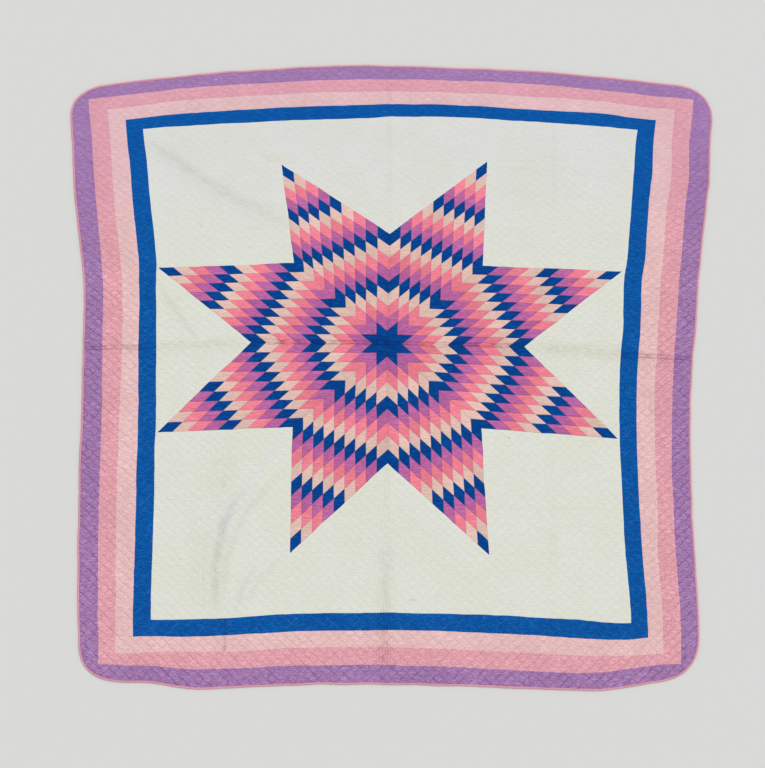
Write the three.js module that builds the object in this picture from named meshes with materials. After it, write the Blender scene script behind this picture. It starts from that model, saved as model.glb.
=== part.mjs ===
// An eight-pointed star quilt laid out flat, face up. Millimetres, +Z up.
// The origin is in the middle of the flat underside, +X is across the quilt and +Y is along it.

import * as THREE from 'three';

// The layers of cloth. The stitches pull the quilt down and it puffs up between them.
const CLOTH = { stitched: 2.6, puff: 2.2, cutGap: 0.3 };

// The crosshatch of quilting: stitched lines slant both ways. The lines lie closer together
// lengthwise at the top of the quilt than at the bottom. Each third line is raised here.
const HATCH = { across: 31, alongMiddle: 25.7, alongTaper: 0.005, raisedEvery: 3 };

// The narrow binding sewn over the raw edge.
const BINDING = { width: 6, height: 4.6, roundTop: 1.4, roundFoot: 0.6 };

// Distances out from the quilt's middle lines to its outer edge, and the widths of the four
// border strips there, the lavender one measured from the outer edge. at is the place along
// the side: Y on the left and right sides, X on the top and bottom ones.
const LEFT = [
  { at: -902, edge: 929, lavender: 57, pink: 49, pale: 55, blue: 52 },
  { at: -807, edge: 929, lavender: 59, pink: 50, pale: 54, blue: 52 },
  { at: -629, edge: 932, lavender: 61, pink: 53, pale: 52, blue: 53 },
  { at: -362, edge: 929, lavender: 61, pink: 52, pale: 58, blue: 53 },
  { at: -95, edge: 921, lavender: 62, pink: 52, pale: 55, blue: 53 },
  { at: 84, edge: 916, lavender: 59, pink: 58, pale: 49, blue: 53 },
  { at: 262, edge: 913, lavender: 59, pink: 56, pale: 50, blue: 50 },
  { at: 351, edge: 921, lavender: 61, pink: 56, pale: 53, blue: 53 },
  { at: 529, edge: 939, lavender: 62, pink: 53, pale: 56, blue: 53 },
  { at: 707, edge: 949, lavender: 60, pink: 56, pale: 50, blue: 50 },
  { at: 859, edge: 956, lavender: 53, pink: 53, pale: 49, blue: 50 },
];
const RIGHT = [
  { at: -896, edge: 916, lavender: 57, pink: 54, pale: 42, blue: 50 },
  { at: -807, edge: 916, lavender: 56, pink: 53, pale: 43, blue: 50 },
  { at: -689, edge: 913, lavender: 55, pink: 53, pale: 45, blue: 50 },
  { at: -540, edge: 902, lavender: 56, pink: 53, pale: 46, blue: 51 },
  { at: -362, edge: 893, lavender: 57, pink: 46, pale: 54, blue: 50 },
  { at: -184, edge: 889, lavender: 56, pink: 50, pale: 53, blue: 51 },
  { at: -5, edge: 893, lavender: 56, pink: 53, pale: 54, blue: 52 },
  { at: 173, edge: 907, lavender: 60, pink: 53, pale: 53, blue: 52 },
  { at: 297, edge: 915, lavender: 59, pink: 55, pale: 56, blue: 53 },
  { at: 351, edge: 920, lavender: 59, pink: 54, pale: 53, blue: 53 },
  { at: 514, edge: 936, lavender: 63, pink: 54, pale: 54, blue: 52 },
  { at: 603, edge: 947, lavender: 63, pink: 53, pale: 56, blue: 55 },
  { at: 701, edge: 948, lavender: 64, pink: 52, pale: 54, blue: 52 },
  { at: 773, edge: 955, lavender: 62, pink: 53, pale: 53, blue: 51 },
  { at: 857, edge: 958, lavender: 59, pink: 53, pale: 53, blue: 52 },
];
const TOP = [
  { at: -956, edge: 859, lavender: 37, pink: 37, pale: 35, blue: 31 },
  { at: -835, edge: 873, lavender: 39, pink: 37, pale: 35, blue: 31 },
  { at: -642, edge: 896, lavender: 39, pink: 36, pale: 38, blue: 36 },
  { at: -375, edge: 918, lavender: 42, pink: 36, pale: 40, blue: 39 },
  { at: -108, edge: 929, lavender: 43, pink: 36, pale: 39, blue: 39 },
  { at: 160, edge: 923, lavender: 39, pink: 36, pale: 36, blue: 36 },
  { at: 427, edge: 913, lavender: 40, pink: 38, pale: 39, blue: 36 },
  { at: 605, edge: 896, lavender: 41, pink: 33, pale: 36, blue: 38 },
  { at: 783, edge: 879, lavender: 41, pink: 36, pale: 35, blue: 34 },
  { at: 958, edge: 857, lavender: 36, pink: 36, pale: 35, blue: 33 },
];
const BOTTOM = [
  { at: -929, edge: 899, lavender: 52, pink: 30, pale: 49, blue: 50 },
  { at: -812, edge: 903, lavender: 51, pink: 33, pale: 49, blue: 50 },
  { at: -717, edge: 905, lavender: 51, pink: 40, pale: 47, blue: 50 },
  { at: -598, edge: 922, lavender: 59, pink: 51, pale: 45, blue: 50 },
  { at: -464, edge: 920, lavender: 59, pink: 49, pale: 49, blue: 53 },
  { at: -286, edge: 911, lavender: 57, pink: 53, pale: 49, blue: 53 },
  { at: -19, edge: 910, lavender: 58, pink: 53, pale: 50, blue: 53 },
  { at: 249, edge: 916, lavender: 55, pink: 53, pale: 53, blue: 53 },
  { at: 516, edge: 927, lavender: 52, pink: 53, pale: 52, blue: 55 },
  { at: 620, edge: 928, lavender: 55, pink: 49, pale: 49, blue: 52 },
  { at: 703, edge: 917, lavender: 53, pink: 39, pale: 49, blue: 49 },
  { at: 798, edge: 902, lavender: 51, pink: 33, pale: 49, blue: 50 },
  { at: 916, edge: 895, lavender: 46, pink: 30, pale: 48, blue: 50 },
];
const SIDES = { left: LEFT, right: RIGHT, top: TOP, bottom: BOTTOM };

// Brings the middle of the whole outline's box to the origin.
const TO_MIDDLE = [-0.6, -0.35, 0];

// How far the rounding of each outer corner runs along its upright and its level side.
const ROUNDING = {
  topLeft: { upright: 77, level: 122, butt: 'top' },
  topRight: { upright: 97, level: 107, butt: 'right' },
  bottomRight: { upright: 123, level: 132, butt: 'bottom' },
  bottomLeft: { upright: 107, level: 117, butt: 'bottom' },
};

// The star: its middle, the count of small diamonds along each side of a point, and the points
// counterclockwise from the one up and to the right, each with its tip and with the inner
// corner that comes after it.
const STAR = { middle: [-13, 103], diamonds: 9 };
const POINTS = [
  { name: 'top_right', tip: [284, 642], inner: [-4, 429] },
  { name: 'top_left', tip: [-326, 634], inner: [-288, 342] },
  { name: 'left_upper', tip: [-692, 327], inner: [-416, 107] },
  { name: 'left_lower', tip: [-695, -160], inner: [-293, -145] },
  { name: 'bottom_left', tip: [-301, -519], inner: [-10, -252] },
  { name: 'bottom_right', tip: [290, -525], inner: [267, -150] },
  { name: 'right_lower', tip: [673, -180], inner: [394, 93] },
  { name: 'right_upper', tip: [685, 316], inner: [273, 334] },
];

// Where the seams of the two white strips, past the tips, meet the blue border.
const WHITE_STRIPS = { top: { left: 618, right: 636 }, bottom: { left: -543, right: -546 } };

// Folds that the quilt keeps from being put away, as soft ridges through a few places each.
const CREASES = [
  { name: 'middle, upright', through: [[-4, 900], [-10, -440]], width: 22, rise: 0.9 },
  { name: 'middle, foot', through: [[-12, -500], [-20, -930]], width: 28, rise: 1.4 },
  { name: 'left, level', through: [[-920, 88], [-746, 93], [-420, 110]], width: 24, rise: 1.2 },
  { name: 'middle, level', through: [[-350, 108], [-19, 104], [320, 98]], width: 18, rise: 0.7 },
  { name: 'right, level', through: [[382, 96], [739, 63], [890, 60]], width: 24, rise: 1.2 },
  {
    name: 'lower left, upright',
    through: [[-464, -300], [-509, -450], [-526, -546], [-520, -700]],
    width: 34,
    rise: 1.6,
  },
  { name: 'lower left, slanting', through: [[-301, -245], [-470, -400]], width: 28, rise: 1.0 },
  { name: 'lower left, short', through: [[-315, -531], [-450, -660]], width: 22, rise: 0.8 },
  {
    name: 'upper left, slanting',
    through: [[-712, 697], [-636, 636], [-550, 586], [-482, 532], [-381, 490]],
    width: 28,
    rise: 1.2,
  },
  { name: 'right, upright', through: [[487, 720], [480, -700]], width: 24, rise: 0.8 },
];

// Finish of each kind of cotton.
const COTTON_ROUGHNESS = 0.92;
const DYES = {
  white: '#dddfd6',
  blue: '#0b53a4',
  pale: '#e4bcc1',
  pink: '#dd98a9',
  lavender: '#9a70ab',
  binding: '#e291a4',
  star: '#c6709c',
};

const RINGS = ['blue', 'pale', 'pink', 'lavender'];
const OUTER_RING = RINGS.length;

// Fineness of the cut outlines: steps around a rounded corner, steps along a seam when looking
// for the stitched lines that cross it, and rounds of each search for a crossing or a corner.
const ROUND_STEPS = 16;
const ROUND_MIDDLE = 0.5;
const SEARCH_STEP = 4;
const HALVINGS = 50;
const CORNER_ROUNDS = 12;
const WALK_STEPS = 64;
const TINY = 1e-6;

// What is too small to model: patches, distances between points and bends of the underside.
const SLIVER_AREA = 60;
const WELD_REACH = 1.2;
const STRAIGHT_WITHIN = 0.03;

// Ranks of an outline's points: only crossed by a stitched line, shaping the underside too,
// or a corner of this piece or of a neighbour.
const RANK = { loose: 0, kept: 1, corner: 2 };

const isUpright = (side) => side === 'left' || side === 'right';

// The place between two others where a measure changes its sign.
function halve(measure, from, to) {
  let [lo, hi] = [from, to];
  const start = Math.sign(measure(lo));
  for (let n = 0; n < HALVINGS; n += 1) {
    const middle = (lo + hi) / 2;
    if (Math.sign(measure(middle)) === start) lo = middle;
    else hi = middle;
  }
  return lo;
}

// Corners of other pieces that lie on a seam, so that both sides of the seam are cut alike.
const notches = new Map();
function notch(side, ring, at) {
  const key = `${side} ${ring}`;
  if (!notches.has(key)) notches.set(key, []);
  notches.get(key).push(at);
}

// Reads a column of a side's table at a place along it, on a smooth curve through the rows.
function readTable(rows, column, at) {
  const last = rows.length - 1;
  const slope = (i) => {
    const a = rows[Math.max(i - 1, 0)];
    const b = rows[Math.min(i + 1, last)];
    return (b[column] - a[column]) / (b.at - a.at);
  };
  if (at <= rows[0].at) return rows[0][column] + slope(0) * (at - rows[0].at);
  if (at >= rows[last].at) return rows[last][column] + slope(last) * (at - rows[last].at);
  const i = rows.findIndex((row, n) => at >= row.at && at < rows[n + 1].at);
  const span = rows[i + 1].at - rows[i].at;
  const t = (at - rows[i].at) / span;
  const [p, q] = [rows[i][column], rows[i + 1][column]];
  return (
    p * (1 + 2 * t) * (1 - t) ** 2 + q * t * t * (3 - 2 * t) +
    span * t * (1 - t) * (slope(i) * (1 - t) - slope(i + 1) * t)
  );
}

// Distance out to a seam ring: 0 is the white and blue seam, OUTER_RING the binding's seam.
function seamDistance(side, ring, at) {
  const rows = SIDES[side];
  let distance = readTable(rows, 'edge', at);
  if (ring === OUTER_RING) return distance - BINDING.width;
  for (let n = OUTER_RING - 1; n >= ring; n -= 1) distance -= readTable(rows, RINGS[n], at);
  return distance;
}

// The point of a side's seam at a place along that side.
function seamPoint(side, ring, at) {
  const distance = seamDistance(side, ring, at);
  if (side === 'left') return [-distance, at];
  if (side === 'right') return [distance, at];
  return side === 'top' ? [at, distance] : [at, -distance];
}

// Where an upright side's seam meets a level side's seam.
function seamCorner(upright, uprightRing, level, levelRing) {
  let [x, y] = [0, 0];
  for (let n = 0; n < CORNER_ROUNDS; n += 1) {
    [x] = seamPoint(upright, uprightRing, y);
    [, y] = seamPoint(level, levelRing, x);
  }
  return [x, y];
}

// A run is one side of a cut piece: a curve point(t) from start to end, the places where
// another piece's corner lies on it, and whether it is a straight cut.
function seamRun(side, ring, fromPoint, toPoint) {
  const axis = isUpright(side) ? 1 : 0;
  const point = (t) => seamPoint(side, ring, t);
  return { side, ring, start: fromPoint[axis], end: toPoint[axis], point };
}
function straightRun(from, to) {
  const point = (t) => [from[0] + (to[0] - from[0]) * t, from[1] + (to[1] - from[1]) * t];
  return { straight: true, start: 0, end: 1, point };
}

// The rounding of an outer corner, going counterclockwise: a curve drawn between the two
// sides towards the corner where they would have met. The last lavender seam that crosses
// it, where one strip is butted against the other, is on the side called butt.
function roundedCorner(name) {
  const { upright, level, butt } = ROUNDING[name];
  const levelSide = name.startsWith('top') ? 'top' : 'bottom';
  const uprightSide = name.endsWith('Left') ? 'left' : 'right';
  const corner = seamCorner(uprightSide, OUTER_RING, levelSide, OUTER_RING);
  const [down, inward] = [levelSide === 'top' ? -1 : 1, uprightSide === 'left' ? 1 : -1];
  const onUpright = seamPoint(uprightSide, OUTER_RING, corner[1] + down * upright);
  const onLevel = seamPoint(levelSide, OUTER_RING, corner[0] + inward * level);
  const uprightFirst = name === 'topRight' || name === 'bottomLeft';
  const [first, last] = uprightFirst ? [onUpright, onLevel] : [onLevel, onUpright];
  const point = (t) =>
    [0, 1].map((k) => (1 - t) ** 2 * first[k] + 2 * t * (1 - t) * corner[k] + t * t * last[k]);
  const axis = isUpright(butt) ? 0 : 1;
  const past = (t) => {
    const here = point(t);
    return Math.abs(here[axis]) - seamDistance(butt, OUTER_RING - 1, here[1 - axis]);
  };
  const split = halve(past, 0, 1);
  notch('round', name, split);
  notch('round', name, ROUND_MIDDLE);
  const run = (start, end) => ({ side: 'round', ring: name, round: true, start, end, point });
  return {
    first,
    last,
    join: point(split),
    upTo: run(0, split),
    from: run(split, 1),
    upToMiddle: run(0, ROUND_MIDDLE),
    fromMiddle: run(ROUND_MIDDLE, 1),
  };
}

// Place in the crosshatch: a and b count the stitched lines that slant each way.
function hatchPlace([x, y]) {
  const u = x / HATCH.across;
  const w = -Math.log(1 - (HATCH.alongTaper * y) / HATCH.alongMiddle) / HATCH.alongTaper;
  return [u + w, u - w];
}
function hatchPoint([a, b]) {
  const w = (a - b) / 2;
  const y = (HATCH.alongMiddle / HATCH.alongTaper) * (1 - Math.exp(-HATCH.alongTaper * w));
  return [(HATCH.across * (a + b)) / 2, y];
}

// Walks a straight seam in steps that are equal in the cloth as it was cut. The cloth is drawn
// up lengthwise, more so towards the top, so Y counts there by the stitched lines.
function drawnUp(from, to, count) {
  const at = (t) => from.map((v, k) => v + (to[k] - v) * t);
  const asCut = (t) => {
    const [a, b] = hatchPlace(at(t));
    return new THREE.Vector2(at(t)[0], (HATCH.alongMiddle * (a - b)) / 2);
  };
  const along = [0];
  for (let n = 1; n <= WALK_STEPS; n += 1) {
    along.push(along[n - 1] + asCut(n / WALK_STEPS).distanceTo(asCut((n - 1) / WALK_STEPS)));
  }
  return Array.from({ length: count + 1 }, (_, i) => {
    const reach = (along[WALK_STEPS] * i) / count;
    const past = along.findIndex((v, n) => n > 0 && v >= reach - TINY);
    const share = (reach - along[past - 1]) / (along[past] - along[past - 1]);
    return at((past - 1 + share) / WALK_STEPS);
  });
}

// Walks one run and gives its points: its start, each crossing with a raised stitched line
// and each notch. Kept points shape the flat underside too: all of them beside the binding,
// else those where lines of one family cross, and only the ends of a straight cut.
function walkRun(run) {
  const { start, end, point } = run;
  const length = Math.hypot(point(end)[0] - point(start)[0], point(end)[1] - point(start)[1]);
  const steps = Math.max(2, Math.ceil(length / SEARCH_STEP));
  const stops = [{ t: start, rank: RANK.corner }];
  for (let n = 0; n < steps; n += 1) {
    const t0 = start + ((end - start) * n) / steps;
    const t1 = start + ((end - start) * (n + 1)) / steps;
    [0, 1].forEach((family) => {
      const place = (t) => hatchPlace(point(t))[family] / HATCH.raisedEvery;
      const [low, high] = [Math.min(place(t0), place(t1)), Math.max(place(t0), place(t1))];
      const line = Math.ceil(low);
      if (line <= low || line >= high) return;
      const shapes = !run.straight && (run.round || run.ring === OUTER_RING || family === 0);
      stops.push({
        t: halve((t) => place(t) - line, t0, t1),
        family,
        line: line * HATCH.raisedEvery,
        rank: shapes ? RANK.kept : RANK.loose,
      });
    });
  }
  (notches.get(`${run.side} ${run.ring}`) ?? []).forEach((t) => stops.push({ t, rank: RANK.corner }));
  if (run.round) {
    for (let n = 1; n < ROUND_STEPS; n += 1) stops.push({ t: n / ROUND_STEPS, rank: RANK.kept });
  }
  const [low, high] = [Math.min(start, end), Math.max(start, end)];
  const ordered = stops
    .filter(({ t }, n) => n === 0 || (t > low + TINY && t < high - TINY))
    .sort((p, q) => (end > start ? p.t - q.t : q.t - p.t));
  return ordered
    .filter(({ t }, n) => n === 0 || Math.abs(t - ordered[n - 1].t) > TINY)
    .map(({ t, family, line, rank }) => {
      const [x, y] = point(t);
      const place = hatchPlace([x, y]);
      if (family !== undefined) place[family] = line;
      return { x, y, place, rank };
    });
}

// Cuts a polygon in hatch places down to one side of a stitched line.
function clip(polygon, family, line, side) {
  const out = [];
  polygon.forEach((p, n) => {
    const q = polygon[(n + 1) % polygon.length];
    const [dp, dq] = [(p[family] - line) * side, (q[family] - line) * side];
    if (dp >= 0) out.push(p);
    if ((dp > 0 && dq < 0) || (dp < 0 && dq > 0)) {
      const t = dp / (dp - dq);
      const cut = [p[0] + (q[0] - p[0]) * t, p[1] + (q[1] - p[1]) * t];
      cut[family] = line;
      out.push(cut);
    }
  });
  return out;
}

// Height that the creases add to the top of the quilt at a point: each fades as a bell with the
// distance from its line.
function creaseRise(x, y) {
  const here = new THREE.Vector3(x, y, 0);
  let rise = 0;
  CREASES.forEach(({ through, width, rise: height }) => {
    const places = through.map(([px, py]) => new THREE.Vector3(px, py, 0));
    const distances = places.slice(1).map((place, n) => {
      const line = new THREE.Line3(places[n], place);
      return line.closestPointToPoint(here, true, new THREE.Vector3()).distanceTo(here);
    });
    rise += height * Math.exp(-((Math.min(...distances) / width) ** 2));
  });
  return rise;
}

// A sheet under construction: top points found by their key, and top triangles.
class Sheet {
  constructor() {
    this.points = [];
    this.keys = new Map();
    this.ranks = new Map();
    this.triangles = [];
  }

  rank(i) {
    return this.ranks.get(i) ?? RANK.loose;
  }

  point(key, x, y, height) {
    if (!this.keys.has(key)) {
      this.keys.set(key, this.points.length);
      this.points.push([x, y, CLOTH.stitched + height + creaseRise(x, y)]);
    }
    return this.keys.get(key);
  }

  // Puffs up one stitched patch: a peak over its middle, joined to the corners in turn. A
  // sliver of a patch, cut off by a seam, stays level.
  puff(corners, height) {
    let [area, cx, cy] = [0, 0, 0];
    corners.forEach((i, n) => {
      const [p, q] = [this.points[i], this.points[corners[(n + 1) % corners.length]]];
      const cross = p[0] * q[1] - q[0] * p[1];
      area += cross / 2;
      cx += ((p[0] + q[0]) * cross) / 6;
      cy += ((p[1] + q[1]) * cross) / 6;
    });
    if (corners.length === 3 && area < SLIVER_AREA) {
      this.triangles.push(corners);
      return;
    }
    const peak = this.point(`peak ${this.points.length}`, cx / area, cy / area, height(area));
    corners.forEach((i, n) => this.triangles.push([i, corners[(n + 1) % corners.length], peak]));
  }

  // Joins points that lie closer together than a stitch is long, the one of lower rank to the
  // other, which takes over its place in the underside.
  weld() {
    const joined = this.points.map((_, i) => i);
    const root = (i) => (joined[i] === i ? i : root(joined[i]));
    this.triangles.forEach((t) => t.forEach((i, n) => {
      const pair = [root(i), root(t[(n + 1) % 3])];
      const [p, q] = pair.map((v) => this.points[v]);
      if (pair[0] === pair[1] || Math.hypot(p[0] - q[0], p[1] - q[1]) > WELD_REACH) return;
      const [goes, stays] = pair.sort((v, w) => this.rank(v) - this.rank(w) || w - v);
      joined[goes] = stays;
    }));
    this.triangles = this.triangles
      .map((t) => t.map(root))
      .filter(([a, b, c]) => a !== b && b !== c && c !== a);
  }

  // The outline of the top, counterclockwise, from the edges that only one triangle has.
  outline() {
    const edges = new Map();
    this.triangles.forEach((t) => t.forEach((i, n) => {
      const j = t[(n + 1) % 3];
      edges.set(`${i} ${j}`, [i, j]);
    }));
    const next = new Map();
    edges.forEach(([i, j]) => {
      if (!edges.has(`${j} ${i}`)) next.set(i, j);
    });
    const loop = [next.keys().next().value];
    while (next.get(loop[loop.length - 1]) !== loop[0]) loop.push(next.get(loop[loop.length - 1]));
    if (loop.length !== next.size) throw new Error('a cut piece has more than one outline');
    return loop;
  }

  // Draws the outline in by half the gap between neighbours, then closes the sheet with
  // upright sides and a flat underside, which has only the outline's kept points.
  close() {
    const isKept = (i) => this.rank(i) >= RANK.kept;
    this.weld();
    const loop = this.outline();
    const shifted = loop.map((i, n) => {
      const before = this.points[loop[(n + loop.length - 1) % loop.length]];
      const after = this.points[loop[(n + 1) % loop.length]];
      const here = this.points[i];
      const into = new THREE.Vector2(before[1] - here[1], here[0] - before[0]).normalize();
      const out = new THREE.Vector2(here[1] - after[1], after[0] - here[0]).normalize();
      const reach = CLOTH.cutGap / 2 / (1 + into.dot(out));
      return [here[0] + (into.x + out.x) * reach, here[1] + (into.y + out.y) * reach];
    });
    loop.forEach((i, n) => shifted[n].forEach((v, k) => { this.points[i][k] = v; }));
    const first = loop.findIndex((i) => this.rank(i) === RANK.corner);
    const ring = [...loop.slice(first), ...loop.slice(0, first)];
    const kept = ring.filter((i) => isKept(i));
    for (let k = kept.length - 2; k > 0; k -= 1) {
      const [p, q, r] = [kept[k - 1], kept[k], kept[k + 1]].map((i) => this.points[i]);
      const cross = (q[0] - p[0]) * (r[1] - p[1]) - (r[0] - p[0]) * (q[1] - p[1]);
      const straight = Math.abs(cross) < STRAIGHT_WITHIN * Math.hypot(r[0] - p[0], r[1] - p[1]);
      if (straight && this.rank(kept[k]) < RANK.corner) kept.splice(k, 1);
    }
    const foot = new Map(kept.map((i) => {
      this.points.push([this.points[i][0], this.points[i][1], 0]);
      return [i, this.points.length - 1];
    }));
    const stops = [...kept, kept[0]];
    let n = 0;
    for (let k = 0; k < kept.length; k += 1) {
      const [here, there] = [stops[k], stops[k + 1]];
      let turned = false;
      do {
        const [i, j] = [ring[n], ring[(n + 1) % ring.length]];
        const middle = [0, 1].map((c) => (this.points[i][c] + this.points[j][c]) / 2);
        const away = (v) => Math.hypot(middle[0] - this.points[v][0], middle[1] - this.points[v][1]);
        if (!turned && away(there) < away(here)) {
          this.triangles.push([i, foot.get(here), foot.get(there)]);
          turned = true;
        }
        this.triangles.push([j, i, foot.get(turned ? there : here)]);
        n += 1;
      } while (ring[n % ring.length] !== there);
      if (!turned) this.triangles.push([there, foot.get(here), foot.get(there)]);
    }
    const flat = kept.map((i) => new THREE.Vector2(this.points[i][0], this.points[i][1]));
    THREE.ShapeUtils.triangulateShape(flat, []).forEach((corners) => {
      const [a, b, c] = corners.map((v) => foot.get(kept[v]));
      const counterclockwise = THREE.ShapeUtils.area(corners.map((v) => flat[v])) > 0;
      this.triangles.push(counterclockwise ? [a, c, b] : [a, b, c]);
    });
  }

  geometry() {
    const geometry = new THREE.BufferGeometry();
    geometry.setAttribute('position', new THREE.Float32BufferAttribute(this.points.flat(), 3));
    geometry.setIndex(this.triangles.flat());
    geometry.computeVertexNormals();
    return geometry;
  }
}

// A crosshatched piece cut to an outline of runs, counterclockwise.
function hatchedPiece(runs) {
  const sheet = new Sheet();
  const corners = runs.flatMap(walkRun);
  const key = (place) => place.map((v) => v.toFixed(5)).join(' ');
  corners.forEach(({ place, x, y, rank }) => {
    const index = sheet.point(key(place), x, y, 0);
    sheet.ranks.set(index, Math.max(sheet.rank(index), rank));
  });
  const outline = corners.map((corner) => corner.place);
  const step = HATCH.raisedEvery;
  const whole = (HATCH.across * HATCH.alongMiddle * step * step) / 2;
  const range = [0, 1].map((k) => {
    const values = outline.map((place) => place[k]);
    return [Math.floor(Math.min(...values) / step), Math.ceil(Math.max(...values) / step)];
  });
  for (let i = range[0][0]; i < range[0][1]; i += 1) {
    for (let j = range[1][0]; j < range[1][1]; j += 1) {
      let patch = clip(outline, 0, i * step, 1);
      patch = clip(patch, 0, (i + 1) * step, -1);
      patch = clip(patch, 1, j * step, 1);
      patch = clip(patch, 1, (j + 1) * step, -1);
      const around = patch.map((place) => {
        const [x, y] = hatchPoint(place);
        return sheet.point(key(place), x, y, 0);
      });
      const clean = around.filter((v, n) => v !== around[(n + 1) % around.length]);
      const rise = (area) => CLOTH.puff * Math.min(1, Math.sqrt(area / whole));
      if (clean.length > 2) sheet.puff(clean, rise);
    }
  }
  sheet.close();
  return sheet.geometry();
}

// One point of the star, four-cornered, with a raised patch for each small diamond. Its places
// are blended from its four seams, each walked in steps: the two blends between opposite seams
// are added, less the blend of the four corners.
function starPoint(before, tip, after) {
  const sheet = new Sheet();
  const n = STAR.diamonds;
  const { middle } = STAR;
  const [first, far] = [drawnUp(middle, before, n), drawnUp(after, tip, n)];
  const [second, opposite] = [drawnUp(middle, after, n), drawnUp(before, tip, n)];
  const at = (i, j) => {
    const [s, t] = [i / n, j / n];
    const [x, y] = [0, 1].map((k) => {
      const seams = first[i][k] * (1 - t) + far[i][k] * t + second[j][k] * (1 - s) + opposite[j][k] * s;
      const [near, past] = [middle[k] * (1 - s) + before[k] * s, after[k] * (1 - s) + tip[k] * s];
      return seams - near * (1 - t) - past * t;
    });
    return sheet.point(`${i} ${j}`, x, y, 0);
  };
  for (let i = 0; i < n; i += 1) {
    for (let j = 0; j < n; j += 1) {
      sheet.puff([at(i, j), at(i + 1, j), at(i + 1, j + 1), at(i, j + 1)], () => CLOTH.puff);
    }
  }
  [at(0, 0), at(n, 0), at(n, n), at(0, n)].forEach((corner) => sheet.ranks.set(corner, RANK.corner));
  sheet.close();
  return sheet.geometry();
}

// One length of binding: a low rounded section carried along the runs outside its seam.
function bindingLength(runs) {
  const { point, end } = runs[runs.length - 1];
  const seam = [...runs.flatMap(walkRun).map(({ x, y }) => [x, y]), point(end)];
  const { width, height, roundTop, roundFoot } = BINDING;
  const inner = CLOTH.cutGap / 2;
  const section = [
    { out: inner, up: 0 },
    { out: width - roundFoot, up: 0 },
    { out: width, up: height - roundTop },
    { out: width - roundTop, up: height },
    { out: inner, up: height },
  ];
  const unit = (p, q) => new THREE.Vector2(q[1] - p[1], p[0] - q[0]).normalize();
  const points = [];
  seam.forEach((here, n) => {
    const into = unit(seam[Math.max(n - 1, 0)], seam[Math.max(n, 1)]);
    const out = unit(seam[Math.min(n, seam.length - 2)], seam[Math.min(n + 1, seam.length - 1)]);
    const mitre = into.clone().add(out).divideScalar(1 + into.dot(out));
    const back = n === 0 ? CLOTH.cutGap / 2 : n === seam.length - 1 ? -CLOTH.cutGap / 2 : 0;
    section.forEach(({ out: away, up }) => {
      const [x, y] = [mitre.x * away - mitre.y * back, mitre.y * away + mitre.x * back];
      points.push([here[0] + x, here[1] + y, up]);
    });
  });
  const sides = section.length;
  const triangles = [];
  for (let n = 0; n < seam.length - 1; n += 1) {
    for (let k = 0; k < sides; k += 1) {
      const [a, b] = [n * sides + k, n * sides + ((k + 1) % sides)];
      triangles.push([a, b + sides, b], [a, a + sides, b + sides]);
    }
  }
  const last = (seam.length - 1) * sides;
  for (let k = 1; k < sides - 1; k += 1) {
    triangles.push([0, k, k + 1], [last, last + k + 1, last + k]);
  }
  const geometry = new THREE.BufferGeometry();
  geometry.setAttribute('position', new THREE.Float32BufferAttribute(points.flat(), 3));
  geometry.setIndex(triangles.flat());
  geometry.computeVertexNormals();
  return geometry;
}

const quilt = new THREE.Group();
quilt.position.set(...TO_MIDDLE);
function addPiece(name, geometry, dye) {
  const material = new THREE.MeshStandardMaterial({
    color: DYES[dye], roughness: COTTON_ROUGHNESS, metalness: 0,
  });
  material.name = dye;
  const mesh = new THREE.Mesh(geometry, material);
  mesh.name = name;
  quilt.add(mesh);
}

// Corners where each ring's strips are butted together, from the order of sewing: the left
// strip first, then the top one over both its end and the ring inside, the right and the bottom.
const tips = Object.fromEntries(POINTS.map(({ name, tip }) => [name, tip]));
const inners = Object.fromEntries(POINTS.map(({ name, inner }) => [name, inner]));
const ringCorner = (upright, uprightRing, level, levelRing) => {
  const point = seamCorner(upright, uprightRing, level, levelRing);
  notch(upright, uprightRing, point[1]);
  notch(level, levelRing, point[0]);
  return point;
};
const strips = RINGS.map((name, n) => ({
  name,
  left: {
    innerLow: ringCorner('left', n, 'bottom', n), innerHigh: ringCorner('left', n, 'top', n),
    outerLow: ringCorner('left', n + 1, 'bottom', n), outerHigh: ringCorner('left', n + 1, 'top', n),
  },
  top: {
    outerLeft: ringCorner('left', n + 1, 'top', n + 1),
    innerRight: ringCorner('right', n, 'top', n), outerRight: ringCorner('right', n, 'top', n + 1),
  },
  right: {
    innerLow: ringCorner('right', n, 'bottom', n), outerLow: ringCorner('right', n + 1, 'bottom', n),
    outerHigh: ringCorner('right', n + 1, 'top', n + 1),
  },
  bottom: {
    outerLeft: ringCorner('left', n + 1, 'bottom', n + 1),
    outerRight: ringCorner('right', n + 1, 'bottom', n + 1),
  },
}));

// The white ground meets the blue ring at the tips' level and at its own two strip seams.
const onSeam = (side, y) => {
  notch(side, 0, y);
  return seamPoint(side, 0, y);
};
const ground = {
  leftUpper: onSeam('left', tips.left_upper[1]),
  leftLower: onSeam('left', tips.left_lower[1]),
  rightUpper: onSeam('right', tips.right_upper[1]),
  rightLower: onSeam('right', tips.right_lower[1]),
  stripTopLeft: onSeam('left', WHITE_STRIPS.top.left),
  stripTopRight: onSeam('right', WHITE_STRIPS.top.right),
  stripBottomLeft: onSeam('left', WHITE_STRIPS.bottom.left),
  stripBottomRight: onSeam('right', WHITE_STRIPS.bottom.right),
};

POINTS.forEach(({ name, tip, inner }, n) => {
  const before = POINTS[(n + POINTS.length - 1) % POINTS.length].inner;
  addPiece(`star_point_${name}`, starPoint(before, tip, inner), 'star');
});

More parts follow.
